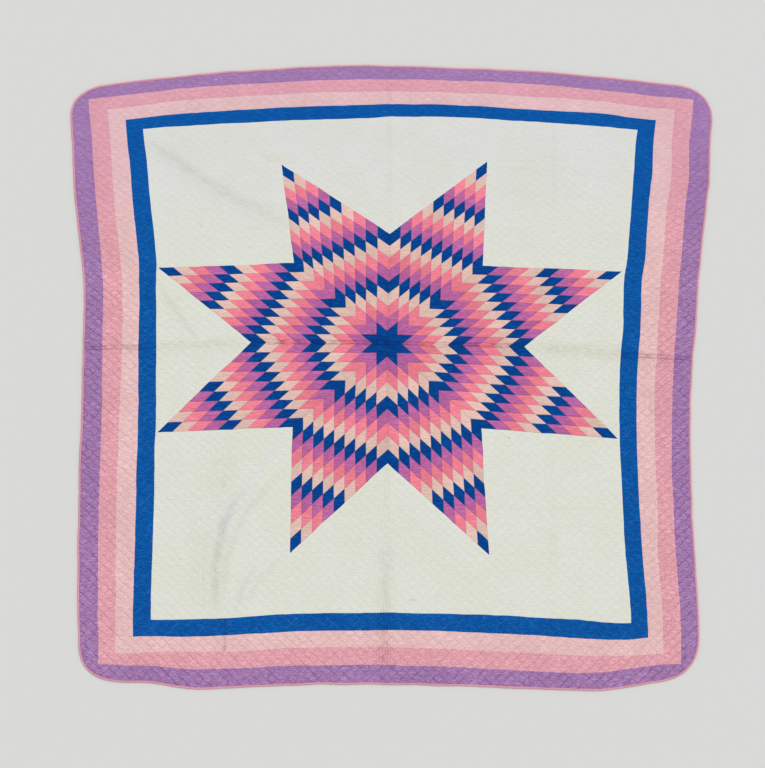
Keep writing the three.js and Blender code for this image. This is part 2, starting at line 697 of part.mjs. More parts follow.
const polygon = (...points) => points.map((p, n) => straightRun(p, points[(n + 1) % points.length]));
addPiece('side_triangle_top', hatchedPiece(
  polygon(tips.top_right, tips.top_left, inners.top_right)), 'white');
addPiece('side_triangle_bottom', hatchedPiece(
  polygon(tips.bottom_left, tips.bottom_right, inners.bottom_left)), 'white');
addPiece('side_triangle_left', hatchedPiece([
  straightRun(tips.left_upper, ground.leftUpper),
  seamRun('left', 0, ground.leftUpper, ground.leftLower),
  straightRun(ground.leftLower, tips.left_lower), straightRun(tips.left_lower, inners.left_upper),
  straightRun(inners.left_upper, tips.left_upper),
]), 'white');
addPiece('side_triangle_right', hatchedPiece([
  straightRun(tips.right_lower, ground.rightLower),
  seamRun('right', 0, ground.rightLower, ground.rightUpper),
  straightRun(ground.rightUpper, tips.right_upper), straightRun(tips.right_upper, inners.right_lower),
  straightRun(inners.right_lower, tips.right_lower),
]), 'white');

// A corner square lies between two tips: one beside the blue border, one at a strip seam.
function cornerSquare(side, seamStart, seamEnd, first, inner, last) {
  return hatchedPiece([
    seamRun(side, 0, seamStart, seamEnd), straightRun(seamEnd, first), straightRun(first, inner),
    straightRun(inner, last), straightRun(last, seamStart),
  ]);
}
addPiece('corner_square_top_left', cornerSquare(
  'left', ground.stripTopLeft, ground.leftUpper,
  tips.left_upper, inners.top_left, tips.top_left), 'white');
addPiece('corner_square_bottom_left', cornerSquare(
  'left', ground.leftLower, ground.stripBottomLeft,
  tips.bottom_left, inners.left_lower, tips.left_lower), 'white');
addPiece('corner_square_bottom_right', cornerSquare(
  'right', ground.stripBottomRight, ground.rightLower,
  tips.right_lower, inners.bottom_right, tips.bottom_right), 'white');
addPiece('corner_square_top_right', cornerSquare(
  'right', ground.rightUpper, ground.stripTopRight,
  tips.top_right, inners.right_upper, tips.right_upper), 'white');

addPiece('white_strip_top', hatchedPiece([
  seamRun('top', 0, strips[0].top.innerRight, strips[0].left.innerHigh),
  seamRun('left', 0, strips[0].left.innerHigh, ground.stripTopLeft),
  straightRun(ground.stripTopLeft, tips.top_left), straightRun(tips.top_left, tips.top_right),
  straightRun(tips.top_right, ground.stripTopRight),
  seamRun('right', 0, ground.stripTopRight, strips[0].top.innerRight),
]), 'white');
addPiece('white_strip_bottom', hatchedPiece([
  seamRun('bottom', 0, strips[0].left.innerLow, strips[0].right.innerLow),
  seamRun('right', 0, strips[0].right.innerLow, ground.stripBottomRight),
  straightRun(ground.stripBottomRight, tips.bottom_right),
  straightRun(tips.bottom_right, tips.bottom_left),
  straightRun(tips.bottom_left, ground.stripBottomLeft),
  seamRun('left', 0, ground.stripBottomLeft, strips[0].left.innerLow),
]), 'white');

const rounded = Object.fromEntries(Object.keys(ROUNDING).map((name) => [name, roundedCorner(name)]));
const { topLeft, topRight, bottomRight, bottomLeft } = rounded;

// Each ring's strips, counterclockwise around the strip. The lavender ones are cut to the
// rounded corners.
strips.forEach(({ name, left, top, right, bottom }, n) => {
  const last = n === RINGS.length - 1;
  addPiece(`${name}_strip_left`, hatchedPiece([
    seamRun('left', n, left.innerLow, left.innerHigh),
    ...(last ? [
      seamRun('top', n, left.innerHigh, topLeft.join), topLeft.from,
      seamRun('left', n + 1, topLeft.last, bottomLeft.first), bottomLeft.upTo,
      seamRun('bottom', n, bottomLeft.join, left.innerLow),
    ] : [
      seamRun('top', n, left.innerHigh, left.outerHigh),
      seamRun('left', n + 1, left.outerHigh, left.outerLow),
      seamRun('bottom', n, left.outerLow, left.innerLow),
    ]),
  ]), name);
  addPiece(`${name}_strip_top`, hatchedPiece(last ? [
    seamRun('top', n, topLeft.join, top.innerRight), seamRun('right', n, top.innerRight, topRight.join),
    topRight.from, seamRun('top', n + 1, topRight.last, topLeft.first), topLeft.upTo,
  ] : [
    seamRun('top', n, left.outerHigh, top.innerRight),
    seamRun('right', n, top.innerRight, top.outerRight),
    seamRun('top', n + 1, top.outerRight, top.outerLeft),
    seamRun('left', n + 1, top.outerLeft, left.outerHigh),
  ]), name);
  addPiece(`${name}_strip_right`, hatchedPiece(last ? [
    seamRun('bottom', n, right.innerLow, bottomRight.join), bottomRight.from,
    seamRun('right', n + 1, bottomRight.last, topRight.first), topRight.upTo,
    seamRun('right', n, topRight.join, right.innerLow),
  ] : [
    seamRun('bottom', n, right.innerLow, right.outerLow),
    seamRun('right', n + 1, right.outerLow, right.outerHigh),
    seamRun('top', n + 1, right.outerHigh, top.outerRight),
    seamRun('right', n, top.outerRight, right.innerLow),
  ]), name);
  addPiece(`${name}_strip_bottom`, hatchedPiece(last ? [
    bottomLeft.from, seamRun('bottom', n + 1, bottomLeft.last, bottomRight.first), bottomRight.upTo,
    seamRun('bottom', n, bottomRight.join, bottomLeft.join),
  ] : [
    seamRun('bottom', n + 1, bottom.outerLeft, bottom.outerRight),
    seamRun('right', n + 1, bottom.outerRight, right.outerLow),
    seamRun('bottom', n, right.outerLow, left.outerLow),
    seamRun('left', n + 1, left.outerLow, bottom.outerLeft),
  ]), name);
});

// The binding's four lengths are joined in the middles of the rounded corners.
[
  ['left', topLeft, bottomLeft], ['bottom', bottomLeft, bottomRight],
  ['right', bottomRight, topRight], ['top', topRight, topLeft],
].forEach(([side, before, after]) => {
  const seam = seamRun(side, OUTER_RING, before.last, after.first);
  const runs = [before.fromMiddle, seam, after.upToMiddle];
  addPiece(`binding_${side}`, bindingLength(runs), 'binding');
});

export default quilt;
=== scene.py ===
"""An eight-pointed star quilt, laid out flat and face up.

Shapes are worked out in millimetres on the quilt's own plan and turned to metres when a mesh is made.
+X is across the quilt, +Y is along it and +Z is up out of the patchwork."""

import bpy
import numpy as np
from bpy.props import FloatProperty, FloatVectorProperty, IntProperty, PointerProperty
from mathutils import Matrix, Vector


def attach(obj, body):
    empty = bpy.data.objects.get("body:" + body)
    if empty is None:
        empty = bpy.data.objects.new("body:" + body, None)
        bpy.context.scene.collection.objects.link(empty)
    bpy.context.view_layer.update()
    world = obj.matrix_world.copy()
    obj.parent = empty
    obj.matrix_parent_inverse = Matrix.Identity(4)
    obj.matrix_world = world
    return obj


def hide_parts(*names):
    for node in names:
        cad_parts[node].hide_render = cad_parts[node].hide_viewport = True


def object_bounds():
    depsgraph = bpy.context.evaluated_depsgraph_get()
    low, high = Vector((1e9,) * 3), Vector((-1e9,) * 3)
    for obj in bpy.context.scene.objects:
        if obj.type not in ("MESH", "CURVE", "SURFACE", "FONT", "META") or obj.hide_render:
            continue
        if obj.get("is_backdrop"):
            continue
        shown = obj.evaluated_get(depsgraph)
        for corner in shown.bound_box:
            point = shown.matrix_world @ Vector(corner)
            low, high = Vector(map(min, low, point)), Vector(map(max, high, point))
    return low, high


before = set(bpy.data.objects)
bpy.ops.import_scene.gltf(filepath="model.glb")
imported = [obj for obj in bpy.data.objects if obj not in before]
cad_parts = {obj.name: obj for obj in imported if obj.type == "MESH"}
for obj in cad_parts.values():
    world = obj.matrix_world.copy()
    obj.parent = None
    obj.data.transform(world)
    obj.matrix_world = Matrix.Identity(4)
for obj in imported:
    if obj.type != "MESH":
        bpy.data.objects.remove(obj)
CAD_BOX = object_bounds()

bl_info = {
    "name": "Star quilt",
    "version": (1, 0, 0),
    "blender": (4, 5, 0),
    "location": "View3D > Sidebar > Star quilt",
    "description": "Sews an eight-pointed star quilt with four borders and lays it out flat",
    "category": "Add Mesh",
}

BODY = "root"
METRES = 0.001
FULL_TURN = 2 * np.pi
CRISP_ANGLE = np.radians(60)

# Brings the middle of the outline's box to the origin, in millimetres.
TO_MIDDLE = np.array((-0.6, -0.35))

# The four sides. Each row has the place along the side, the distance from the quilt's middle
# line out to its edge, and the widths of the border strips there, the lavender one measured
# from the edge. Places are Y on the left and right sides, and X on the top and bottom ones.
COLUMNS = ("at", "edge", "lavender", "pink", "pale", "blue")
LEFT = (
    (-902, 929, 57, 49, 55, 52), (-807, 929, 59, 50, 54, 52), (-629, 932, 61, 53, 52, 53),
    (-362, 929, 61, 52, 58, 53), (-95, 921, 62, 52, 55, 53), (84, 916, 59, 58, 49, 53),
    (262, 913, 59, 56, 50, 50), (351, 921, 61, 56, 53, 53), (529, 939, 62, 53, 56, 53),
    (707, 949, 60, 56, 50, 50), (859, 956, 53, 53, 49, 50),
)
RIGHT = (
    (-896, 916, 57, 54, 42, 50), (-807, 916, 56, 53, 43, 50), (-689, 913, 55, 53, 45, 50),
    (-540, 902, 56, 53, 46, 51), (-362, 893, 57, 46, 54, 50), (-184, 889, 56, 50, 53, 51),
    (-5, 893, 56, 53, 54, 52), (173, 907, 60, 53, 53, 52), (297, 915, 59, 55, 56, 53),
    (351, 920, 59, 54, 53, 53), (514, 936, 63, 54, 54, 52), (603, 947, 63, 53, 56, 55),
    (701, 948, 64, 52, 54, 52), (773, 955, 62, 53, 53, 51), (857, 958, 59, 53, 53, 52),
)
TOP = (
    (-956, 859, 37, 37, 35, 31), (-835, 873, 39, 37, 35, 31), (-642, 896, 39, 36, 38, 36),
    (-375, 918, 42, 36, 40, 39), (-108, 929, 43, 36, 39, 39), (160, 923, 39, 36, 36, 36),
    (427, 913, 40, 38, 39, 36), (605, 896, 41, 33, 36, 38), (783, 879, 41, 36, 35, 34),
    (958, 857, 36, 36, 35, 33),
)
BOTTOM = (
    (-929, 899, 52, 30, 49, 50), (-812, 903, 51, 33, 49, 50), (-717, 905, 51, 40, 47, 50),
    (-598, 922, 59, 51, 45, 50), (-464, 920, 59, 49, 49, 53), (-286, 911, 57, 53, 49, 53),
    (-19, 910, 58, 53, 50, 53), (249, 916, 55, 53, 53, 53), (516, 927, 52, 53, 52, 55),
    (620, 928, 55, 49, 49, 52), (703, 917, 53, 39, 49, 49), (798, 902, 51, 33, 49, 50),
    (916, 895, 46, 30, 48, 50),
)
SIDES = {"left": LEFT, "right": RIGHT, "top": TOP, "bottom": BOTTOM}
SIDES = {side: np.array(rows, float) for side, rows in SIDES.items()}
RINGS = ("blue", "pale", "pink", "lavender")
RING_SLOTS = ("blue_cotton", "pale_pink_cotton", "pink_cotton", "lavender_cotton")
OUTER_RING = len(RINGS)

# The binding's section: its size, the height at its stitches and at its outer rim, how far its foot is
# tucked in, how full its back half is and its points. Next, the strip's width unfolded, the step from
# one section to the next, and how much of a fold it takes on. Last, its puckers: their pitch, rise
# and reach outward, and the noises that shift them and make them uneven.
BINDING = {
    "width": 6.0, "height": 4.6, "stitched": 2.0, "rim": 0.9, "tucked": 0.4, "fullness": 0.7, "points": 9,
    "unfolded": 10.5, "step": 2.0, "creased": 0.5,
}
PUCKER = {"pitch": 5.2, "rise": 0.28, "outward": 0.35, "shift": (17.0, 1.5, 6), "uneven": (9.0, 0.2, 7)}

# The sides that stand upright and those that lie level on the plan. The strips of a border ring are
# butted: at its first and its last end, each one stops at the inner seam of the strip beside it, 0,
# or runs on over that strip's end to its outer seam, 1.
UPRIGHT, LEVEL = ("left", "right"), ("bottom", "top")
BUTTED = {"left": (0, 0), "top": (1, 0), "right": (0, 1), "bottom": (1, 1)}

# How far the rounding of each outer corner runs along its upright and its level side, and the
# side whose lavender strip is butted against the other one.
ROUNDING = {
    ("left", "top"): {"upright": 77, "level": 122, "butt": "top"},
    ("right", "top"): {"upright": 97, "level": 107, "butt": "right"},
    ("right", "bottom"): {"upright": 123, "level": 132, "butt": "bottom"},
    ("left", "bottom"): {"upright": 107, "level": 117, "butt": "bottom"},
}

# The star: its middle, and each point's tip with the inner corner that comes after it,
# counterclockwise. Each point has as many diamonds along each of its sides.
STAR_MIDDLE = np.array((-13.0, 103.0))
DIAMONDS = 9
POINTS = {
    "top_right": ((284, 642), (-4, 429)),
    "top_left": ((-326, 634), (-288, 342)),
    "left_upper": ((-692, 327), (-416, 107)),
    "left_lower": ((-695, -160), (-293, -145)),
    "bottom_left": ((-301, -519), (-10, -252)),
    "bottom_right": ((290, -525), (267, -150)),
    "right_lower": ((673, -180), (394, 93)),
    "right_upper": ((685, 316), (273, 334)),
}
TIPS, INNERS = ({name: np.array(row[k], float) for name, row in POINTS.items()} for k in (0, 1))
PATCH_ROWS = ("blue", "orchid", "pink", "peach")
TONE_SEED = 20

# Where the seams of the two white strips past the tips meet the blue border.
STRIP_SEAMS = {"top": {"left": 618, "right": 636}, "bottom": {"left": -543, "right": -546}}

# The crosshatch: its lines slant both ways, closer together lengthwise at the quilt's top.
HATCH = {"across": 31.0, "along_middle": 25.7, "along_taper": 0.005}
LINE_SPACING, CROSSING_SPACING = 19.8, 20.1

# Folds from being put away, as soft ridges: the places that each passes, its width and its rise.
CREASES = (
    (((-4, 900), (-10, -440)), 22, 0.9),
    (((-12, -500), (-20, -930)), 28, 1.4),
    (((-920, 88), (-746, 93), (-420, 110)), 24, 1.2),
    (((-350, 108), (-19, 104), (320, 98)), 18, 0.7),
    (((382, 96), (739, 63), (890, 60)), 24, 1.2),
    (((-464, -300), (-509, -450), (-526, -546), (-520, -700)), 34, 1.6),
    (((-301, -245), (-470, -400)), 28, 1.0),
    (((-315, -531), (-450, -660)), 22, 0.8),
    (((-712, 697), (-636, 636), (-550, 586), (-482, 532), (-381, 490)), 28, 1.2),
    (((487, 720), (480, -700)), 24, 0.8),
)

# Folds, as smooth paths on the plan, marked with painted shade: thin dark lines, dark pleat troughs and broad
# dark bands, the yellowish ones on the white partly real soiling too. Columns: the parts or cloths that a fold
# crosses, the points that it passes, and the share of its length over which an end fades. Next, how strong its
# two thin lines are, how strong the fine pleats beside it are and how far out they reach.
# Last, how strong its broad band is, the band's half width and hue, and how deep it lies in millimetres.
# Hues of a fold's band on the white: yellowish soiling with painted shade, and grey and blue painted shade.
HUES = ("soiled", "grey_shade", "blue_shade")
NO_BAND = (0.0, 10, "soiled", 0.0)
FOLD_LINES = (
    ("ground border star", ((-4, 940), (-12, -480)), 0.05, 0.12, 0.2, 20, *NO_BAND),
    ("ground border", ((-14, -400), (-20, -960)), 0.3, 0.15, 0.85, 46, 0.1, 24, "grey_shade", 0.0),
    ("star", ((-470, 111), (470, 95)), 0.15, 0.75, 0.3, 18, *NO_BAND),
    ("border", ((-960, 86), (-680, 97)), 0.05, 0.4, 0.5, 24, *NO_BAND),
    ("ground", ((-790, 92), (-400, 110)), 0.25, 0.1, 0.5, 34, 0.1, 20, "soiled", 0.3),
    ("ground", ((370, 99), (770, 66)), 0.3, 0.2, 0.6, 40, 0.17, 36, "soiled", 0.4),
    ("border", ((640, 72), (960, 54)), 0.05, 0.75, 0.7, 26, *NO_BAND),
    ("ground", ((-760, 722), (-657, 654), (-568, 594), (-479, 541), (-390, 495), (-280, 438)),
     0.2, 0.0, 0.5, 56, 0.13, 27, "grey_shade", 0.9),
    ("ground", ((-750, 715), (-657, 658), (-568, 599), (-479, 546), (-390, 500)),
     0.25, 0.0, 0.0, 20, 0.13, 21, "soiled", 0.0),
    ("ground", ((-285, -178), (-360, -237), (-420, -308), (-479, -392), (-503, -457), (-516, -525)),
     0.3, 0.0, 0.0, 20, 0.24, 15, "blue_shade", 0.4),
    ("ground", ((-400, -283), (-479, -392), (-503, -457), (-518, -528), (-525, -630), (-524, -745)),
     0.35, 0.0, 0.7, 60, 0.36, 22, "grey_shade", 1.2),
    ("ground", ((-295, -245), (-360, -308), (-408, -374), (-449, -430), (-488, -540), (-503, -700)),
     0.25, 0.0, 0.0, 20, 0.18, 17, "soiled", 0.3),
    ("ground", ((-388, -540), (-425, -594), (-446, -641), (-466, -720)),
     0.3, 0.0, 0.3, 40, 0.18, 13, "grey_shade", 0.6),
    ("ground", ((-300, -512), (-360, -570), (-402, -617), (-432, -690)),
     0.3, 0.0, 0.2, 24, 0.13, 11, "soiled", 0.3),
    ("ground", ((-490, -120), (-500, -430)), 0.35, 0.0, 0.45, 75, *NO_BAND),
    ("ground", ((-575, -300), (-580, -745)), 0.35, 0.0, 0.4, 50, *NO_BAND),
    ("ground", ((-600, -60), (-400, -60)), 0.3, 0.0, 0.2, 60, *NO_BAND),
    ("blue pale", ((-491, -700), (-495, -834)), 0.05, 0.0, 0.0, 4, 0.5, 5, "grey_shade", 0.3),
    ("ground", ((-700, 290), (-620, 170), (-540, 75)), 0.35, 0.0, 0.35, 34, 0.15, 15, "grey_shade", 0.5),
    ("ground", ((484, 780), (484, 470)), 0.25, 0.1, 0.35, 20, *NO_BAND),
    ("ground", ((478, -170), (478, -640)), 0.3, 0.06, 0.25, 36, *NO_BAND),
    ("ground", ((290, 545), (700, 537)), 0.25, 0.08, 0.1, 12, *NO_BAND),
    ("ground", ((270, -383), (700, -388)), 0.2, 0.1, 0.1, 14, *NO_BAND),
    ("ground", ((-491, 775), (-491, 640)), 0.2, 0.12, 0.1, 12, *NO_BAND),
)

# Unevenness of the hand work. Each row has the size of a noise's lattice, how far or how high it
# reaches and its first seed, and the crinkle's lattice is longer across the quilt.
UNSTEADY = ((70.0, 1.3, 30), (24.0, 0.6, 40))
WAVER = (75.0, 0.07, 1)
BILLOW = (240.0, 0.5, 3)
CRINKLE = ((34.0, 13.0), 0.5, 4)
PLUMPNESS = (LINE_SPACING, 0.2, 5)
WANDER = (45.0, 3.0, 8)
LATTICE = 256

# What is left of the crinkles at the stitches, as a share.
CRINKLE_LEFT = 0.3

# Sharpness of the puffs between stitched lines, how near a seam presses the cloth down, and how
# high the puffs stand as a share of the borders'.
PUFF_POWER = 2.0
SEAM_REACH = 4.0
STAR_PUFF, GROUND_PUFF = 0.5, 0.45

# Fineness of curves: steps round a corner and along a straight cut, steps on each stretch of a
# fold's path, and rounds of the search for a corner. An edge that is a point still has a little
# length, and points whose places in metres agree to so many digits are one.
ROUND_STEPS, WALK_STEPS, PATH_STEPS = 400, 256, 6
CORNER_ROUNDS = 12
POINT_LENGTH = 1e-6
PLACE_DIGITS = 7


def column(side, name, at):
    """A side's measure at places along it: a smooth cubic through the table's rows, whose slope at a
    row is that of the chord between its two neighbours, and which runs straight on past the ends."""
    place, value = SIDES[side][:, 0], SIDES[side][:, COLUMNS.index(name)]
    rows = np.arange(len(place))
    low, high = np.maximum(rows - 1, 0), np.minimum(rows + 1, len(place) - 1)
    slope = (value[high] - value[low]) / (place[high] - place[low])
    i = np.clip(np.searchsorted(place, at, side="right") - 1, 0, len(place) - 2)
    span = place[i + 1] - place[i]
    t = (at - place[i]) / span
    bend = span * t * (1 - t) * (slope[i] * (1 - t) - slope[i + 1] * t)
    inside = value[i] * (1 + 2 * t) * (1 - t) ** 2 + value[i + 1] * t * t * (3 - 2 * t) + bend
    before = value[0] + slope[0] * (at - place[0])
    after = value[-1] + slope[-1] * (at - place[-1])
    return np.where(at <= place[0], before, np.where(at >= place[-1], after, inside))


def seam_distance(side, ring, at):
    """Distance out to a seam: the edge's, less the widths of the strips outside the seam. Ring 0 is
    the white and blue seam, and OUTER_RING the binding's."""
    out = column(side, "edge", at)
    if ring == OUTER_RING:
        return out - BINDING["width"]
    return out - sum(column(side, name, at) for name in RINGS[ring:])


def seam(side, ring, start, end):
    """Points along a side's seam, about a millimetre apart, from one place along the side to another."""
    at = np.linspace(start, end, max(2, int(abs(end - start)) + 1))
    away = seam_distance(side, ring, at) * (1 if side in ("right", "top") else -1)
    return np.stack((away, at) if side in UPRIGHT else (at, away), axis=1)


def seam_corner(side, ring, other, other_ring):
    """Where the seams of two neighbouring sides meet, found by going from one to the other."""
    if side in LEVEL:
        side, ring, other, other_ring = other, other_ring, side, ring
    x, y = 0.0, 0.0
    for _ in range(CORNER_ROUNDS):
        x = seam(side, ring, y, y)[0, 0]
        y = seam(other, other_ring, x, x)[0, 1]
    return np.array((x, y))


def rounded_corner(upright, level):
    """The rounding of an outer corner, from its upright side to its level side: the quadratic curve
    that is drawn between the two towards the corner where the sides would have met. middle is the
    number of its middle point, and join of that where the last lavender seam runs out to it."""
    sizes = ROUNDING[upright, level]
    corner = seam_corner(upright, OUTER_RING, level, OUTER_RING)
    x = corner[0] + (1 if upright == "left" else -1) * sizes["level"]
    y = corner[1] + (-1 if level == "top" else 1) * sizes["upright"]
    first, last = seam(upright, OUTER_RING, y, y)[0], seam(level, OUTER_RING, x, x)[0]
    t = np.linspace(0, 1, ROUND_STEPS + 1)[:, None]
    points = (1 - t) ** 2 * first + 2 * t * (1 - t) * corner + t * t * last
    axis = 0 if sizes["butt"] in UPRIGHT else 1
    past = np.abs(points[:, axis]) - seam_distance(sizes["butt"], OUTER_RING - 1, points[:, 1 - axis])
    return {"points": points, "join": int(np.argmin(np.abs(past))), "middle": ROUND_STEPS // 2}


def rounded_side(side, corners, cut):
    """A side's outer seam between its share of the roundings at its ends, as three lines. Each
    rounding is cut at its point called cut."""
    shares = []
    for other in LEVEL if side in UPRIGHT else UPRIGHT:
        corner = corners[(side, other) if side in UPRIGHT else (other, side)]
        points, end = corner["points"], corner[cut]
        shares.append(points[: end + 1] if side in UPRIGHT else points[end:][::-1])
    axis = int(side in UPRIGHT)
    line = seam(side, OUTER_RING, shares[0][0][axis], shares[1][0][axis])
    return [shares[0][::-1], line, shares[1]]


def strip_edges(side, ring, corners):
    """The edges of a border strip, as inner, outer, first end and last end. The outermost strips are
    cut to the rounded corners, where one that runs on ends in a point."""
    axis, outermost = int(side in UPRIGHT), ring == OUTER_RING - 1
    near, far, ends = [], [], []
    for other, past in zip(LEVEL if side in UPRIGHT else UPRIGHT, BUTTED[side]):
        start, end = (seam_corner(side, ring + k, other, ring + past) for k in (0, 1))
        if outermost:
            corner = corners[(side, other) if side in UPRIGHT else (other, side)]
            end = corner["points"][corner["join"]]
            start = end if past else start
        near.append(start[axis])
        far.append(end[axis])
        pointed = outermost and past
        cut = seam(other, ring + past, start[1 - axis], end[1 - axis])
        ends.append([np.array((end, end)) if pointed else cut])
    outer = rounded_side(side, corners, "join") if outermost else [seam(side, ring + 1, *far)]
    return [seam(side, ring, *near)], outer, *ends


def lengths(points):
    """Distance along a line of points, from its start to each of them."""
    return np.concatenate(((0,), np.cumsum(np.linalg.norm(np.diff(points, axis=0), axis=1))))


def line_number(y):
    """Number of the stitched line at a place along the quilt: a logarithm, as their pitch tapers."""
    return -np.log(1 - HATCH["along_taper"] * y / HATCH["along_middle"]) / HATCH["along_taper"]


def even_points(line, count, measured=None):
    """A line of points walked in equal steps of its own length, or of that of another line which is
    measured point by point in its stead."""
    along = lengths(line if measured is None else measured)
    at = np.linspace(0, along[-1], count + 1)
    return np.stack([np.interp(at, along, line[:, k]) for k in (0, 1)], axis=1)


def drawn_up(start, end, count):
    """A straight line walked in steps that are equal in the cloth as it was cut: it is drawn up
    lengthwise, more so towards the top, so there Y goes by the number of the stitched line."""
    line = start + np.linspace(0, 1, WALK_STEPS + 1)[:, None] * (end - start)
    cut = np.stack((line[:, 0], HATCH["along_middle"] * line_number(line[:, 1])), axis=1)
    return even_points(line, count, cut)


def eased(t):
    """Smoothstep of a value held between 0 and 1."""
    t = np.clip(t, 0, 1)
    return t * t * (3 - 2 * t)


def noise(plan, size, reach, seed):
    """Smooth noise as high as reach either way: seeded random heights on a lattice of the given size,
    joined by smoothstep."""
    lattice = np.random.default_rng(seed).uniform(-1, 1, (LATTICE, LATTICE))
    place = plan / size
    start = np.floor(place).astype(int)
    (i, j), (u, v) = np.moveaxis(start, -1, 0), np.moveaxis(eased(place - start), -1, 0)
    corner = lambda m, n: lattice[(i + m) % LATTICE, (j + n) % LATTICE]
    low = corner(0, 0) * (1 - u) + corner(1, 0) * u
    high = corner(0, 1) * (1 - u) + corner(1, 1) * u
    return reach * (low * (1 - v) + high * v)


def unsteady(plan):
    """The plan moved a little by two soft noises, as hand sewing is never quite straight."""
    shift = [sum(noise(plan, size, reach, seed + k) for size, reach, seed in UNSTEADY) for k in (0, 1)]
    return plan + np.stack(shift, axis=-1)


def edge(lines, count):
    """One edge of a piece, in count steps: its lines joined, each with an even number of steps in
    keeping with its length, so that a corner between two of them falls on a point."""
    long = np.array([max(lengths(line)[-1], POINT_LENGTH) for line in lines])
    share = np.maximum(2, 2 * np.round(long / long.sum() * count / 2).astype(int))
    share[np.argmax(share)] += count - share.sum()
    parts = [even_points(line, n) for line, n in zip(lines, share)]
    return np.concatenate([parts[0], *[part[1:] for part in parts[1:]]])


def blended(bottom, top, left, right):
    """Plan of a four-sided piece: the two pairs of opposite edges, each blended straight across and
    added, less the bilinear blend of the four corners. bottom and top run the same way, and left
    and right too."""
    s = np.linspace(0, 1, len(bottom))[:, None, None]
    t = np.linspace(0, 1, len(left))[None, :, None]
    between = (1 - t) * bottom[:, None] + t * top[:, None] + (1 - s) * left[None] + s * right[None]
    near = (1 - s) * bottom[0] + s * bottom[-1]
    far = (1 - s) * top[0] + s * top[-1]
    return between - (1 - t) * near - t * far


def hatch_place(plan):
    """Place in the crosshatch, where the stitched lines lie at whole numbers: the sum and the
    difference of x over the pitch across and of the number of the line at y. A slow noise makes the
    lines waver."""
    u, w = plan[..., 0] / HATCH["across"], line_number(plan[..., 1])
    size, reach, seed = WAVER
    waver = [noise(plan, size, reach, seed + k) for k in (0, 1)]
    return np.stack((u + w + waver[0], u - w + waver[1]), axis=-1)


def puffed(place):
    """Height of the puff between stitched lines, 0 on a line and 1 in the middle of a patch: for
    each family one less a power of the nearness to the line, multiplied."""
    near = 1 - np.abs(np.sin(np.pi * place))
    return np.prod(1 - near**PUFF_POWER, axis=-1)


def smooth_path(ends):
    """Points along the curve through the given ones: on each stretch a cubic, whose slope at a given
    point is half the step from the one before it to the one after it."""
    ends = np.array(ends, float)
    ends = np.vstack((2 * ends[0] - ends[1], ends, 2 * ends[-1] - ends[-2]))
    t = np.linspace(0, 1, PATH_STEPS, endpoint=False)[:, None]
    stretches = [b + 0.5 * t * (c - a + t * (2 * a - 5 * b + 4 * c - d + t * (3 * b - a - 3 * c + d)))
                 for a, b, c, d in zip(ends, ends[1:], ends[2:], ends[3:])]
    return np.vstack((*stretches, ends[-2:-1]))


def beside_path(plan, path):
    """Distance of each point from the nearest stretch of a path, the side of it, 1 or -1, and the
    share of the path's length at that place."""
    nearest = np.full(plan.shape[:-1], np.inf)
    side, share, run = np.zeros_like(nearest), np.zeros_like(nearest), 0.0
    for start, span in zip(path, np.diff(path, axis=0)):
        long = np.hypot(*span)
        out = plan - start
        along = np.clip(out @ span / long**2, 0, 1)
        distance = np.linalg.norm(out - along[..., None] * span, axis=-1)
        nearer = distance < nearest
        nearest = np.where(nearer, distance, nearest)
        side = np.where(nearer, np.sign(span[0] * out[..., 1] - span[1] * out[..., 0]), side)
        share = np.where(nearer, run + along * long, share)
        run += long
    return nearest, side, share / run


def crease_rise(plan):
    """Height of the folds: a bell across each fold's line, all added."""
    return sum(rise * np.exp(-((beside_path(plan, np.array(through, float))[0] / width) ** 2))
               for through, width, rise in CREASES)


def fold_marks(plan, part, cloth):
    """How the folds mark a piece at each point. fold is the signed distance from the fold that
    shows most there, in metres, with how strong its painted dark lines and pleat troughs are. band is how strong
    the yellowish soiling with painted shade and the grey and the blue painted shade are, each a bell of
    smoothsteps across a fold, and sunk is how far the bands lie below the rest. All fade away over a share of a
    fold's length at its ends."""
    fold, band = np.zeros((2, *plan.shape[:-1], 3))
    sunk, shown = np.zeros((2, *plan.shape[:-1]))
    wander = noise(plan, *WANDER)
    for on, path, fade, line, pleats, reach, strength, width, hue, depth in FOLD_LINES:
        if part not in on and cloth not in on:
            continue
        distance, side, share = beside_path(plan, smooth_path(path))
        away = side * distance + wander
        ends = eased(np.minimum(share, 1 - share) / fade)
        near = ends * (1 - eased(np.abs(away) / reach))
        most = near * (line + pleats) > shown
        shown = np.where(most, near * (line + pleats), shown)
        own = np.stack((away * METRES, ends * line, near * pleats), axis=-1)
        fold = np.where(most[..., None], own, fold)
        across = ends * (1 - eased(np.abs(away) / width))
        band[..., HUES.index(hue)] += strength * across
        sunk += depth * across
    return fold, band, sunk


def seam_nearness(plan):
    """How near each point of a piece's grid is to its edge, 1 at it, fading as a bell."""
    reach = []
    for k in (0, 1):
        step = np.linalg.norm(np.gradient(plan, axis=k), axis=-1)
        forward = np.cumsum(step, axis=k) - np.take(step, [0], axis=k)
        reach.append(np.minimum(forward, np.take(forward, [-1], axis=k) - forward))
    return np.exp(-((np.minimum(*reach) / SEAM_REACH) ** 2))


def cloth_height(plan, rise, sizes):
    """Height of the quilt's face: the stitched thickness, the puffs, the folds, a slow billow and
    short crinkles, which die out at the stitches."""
    puff = sizes.puff * rise * (1 + noise(plan, *PLUMPNESS))
    crinkle = noise(plan, *CRINKLE) * (CRINKLE_LEFT + (1 - CRINKLE_LEFT) * rise)
    return sizes.stitched + puff + crinkle + noise(plan, *BILLOW) + crease_rise(plan)


def split_faces(grid):
    """Two triangles for each four-cornered face of a grid of point numbers."""
    a, b, c, d = grid[:-1, :-1], grid[1:, :-1], grid[1:, 1:], grid[:-1, 1:]
    return np.concatenate([np.stack(t, axis=-1).reshape(-1, 3) for t in ((a, b, c), (a, c, d))])


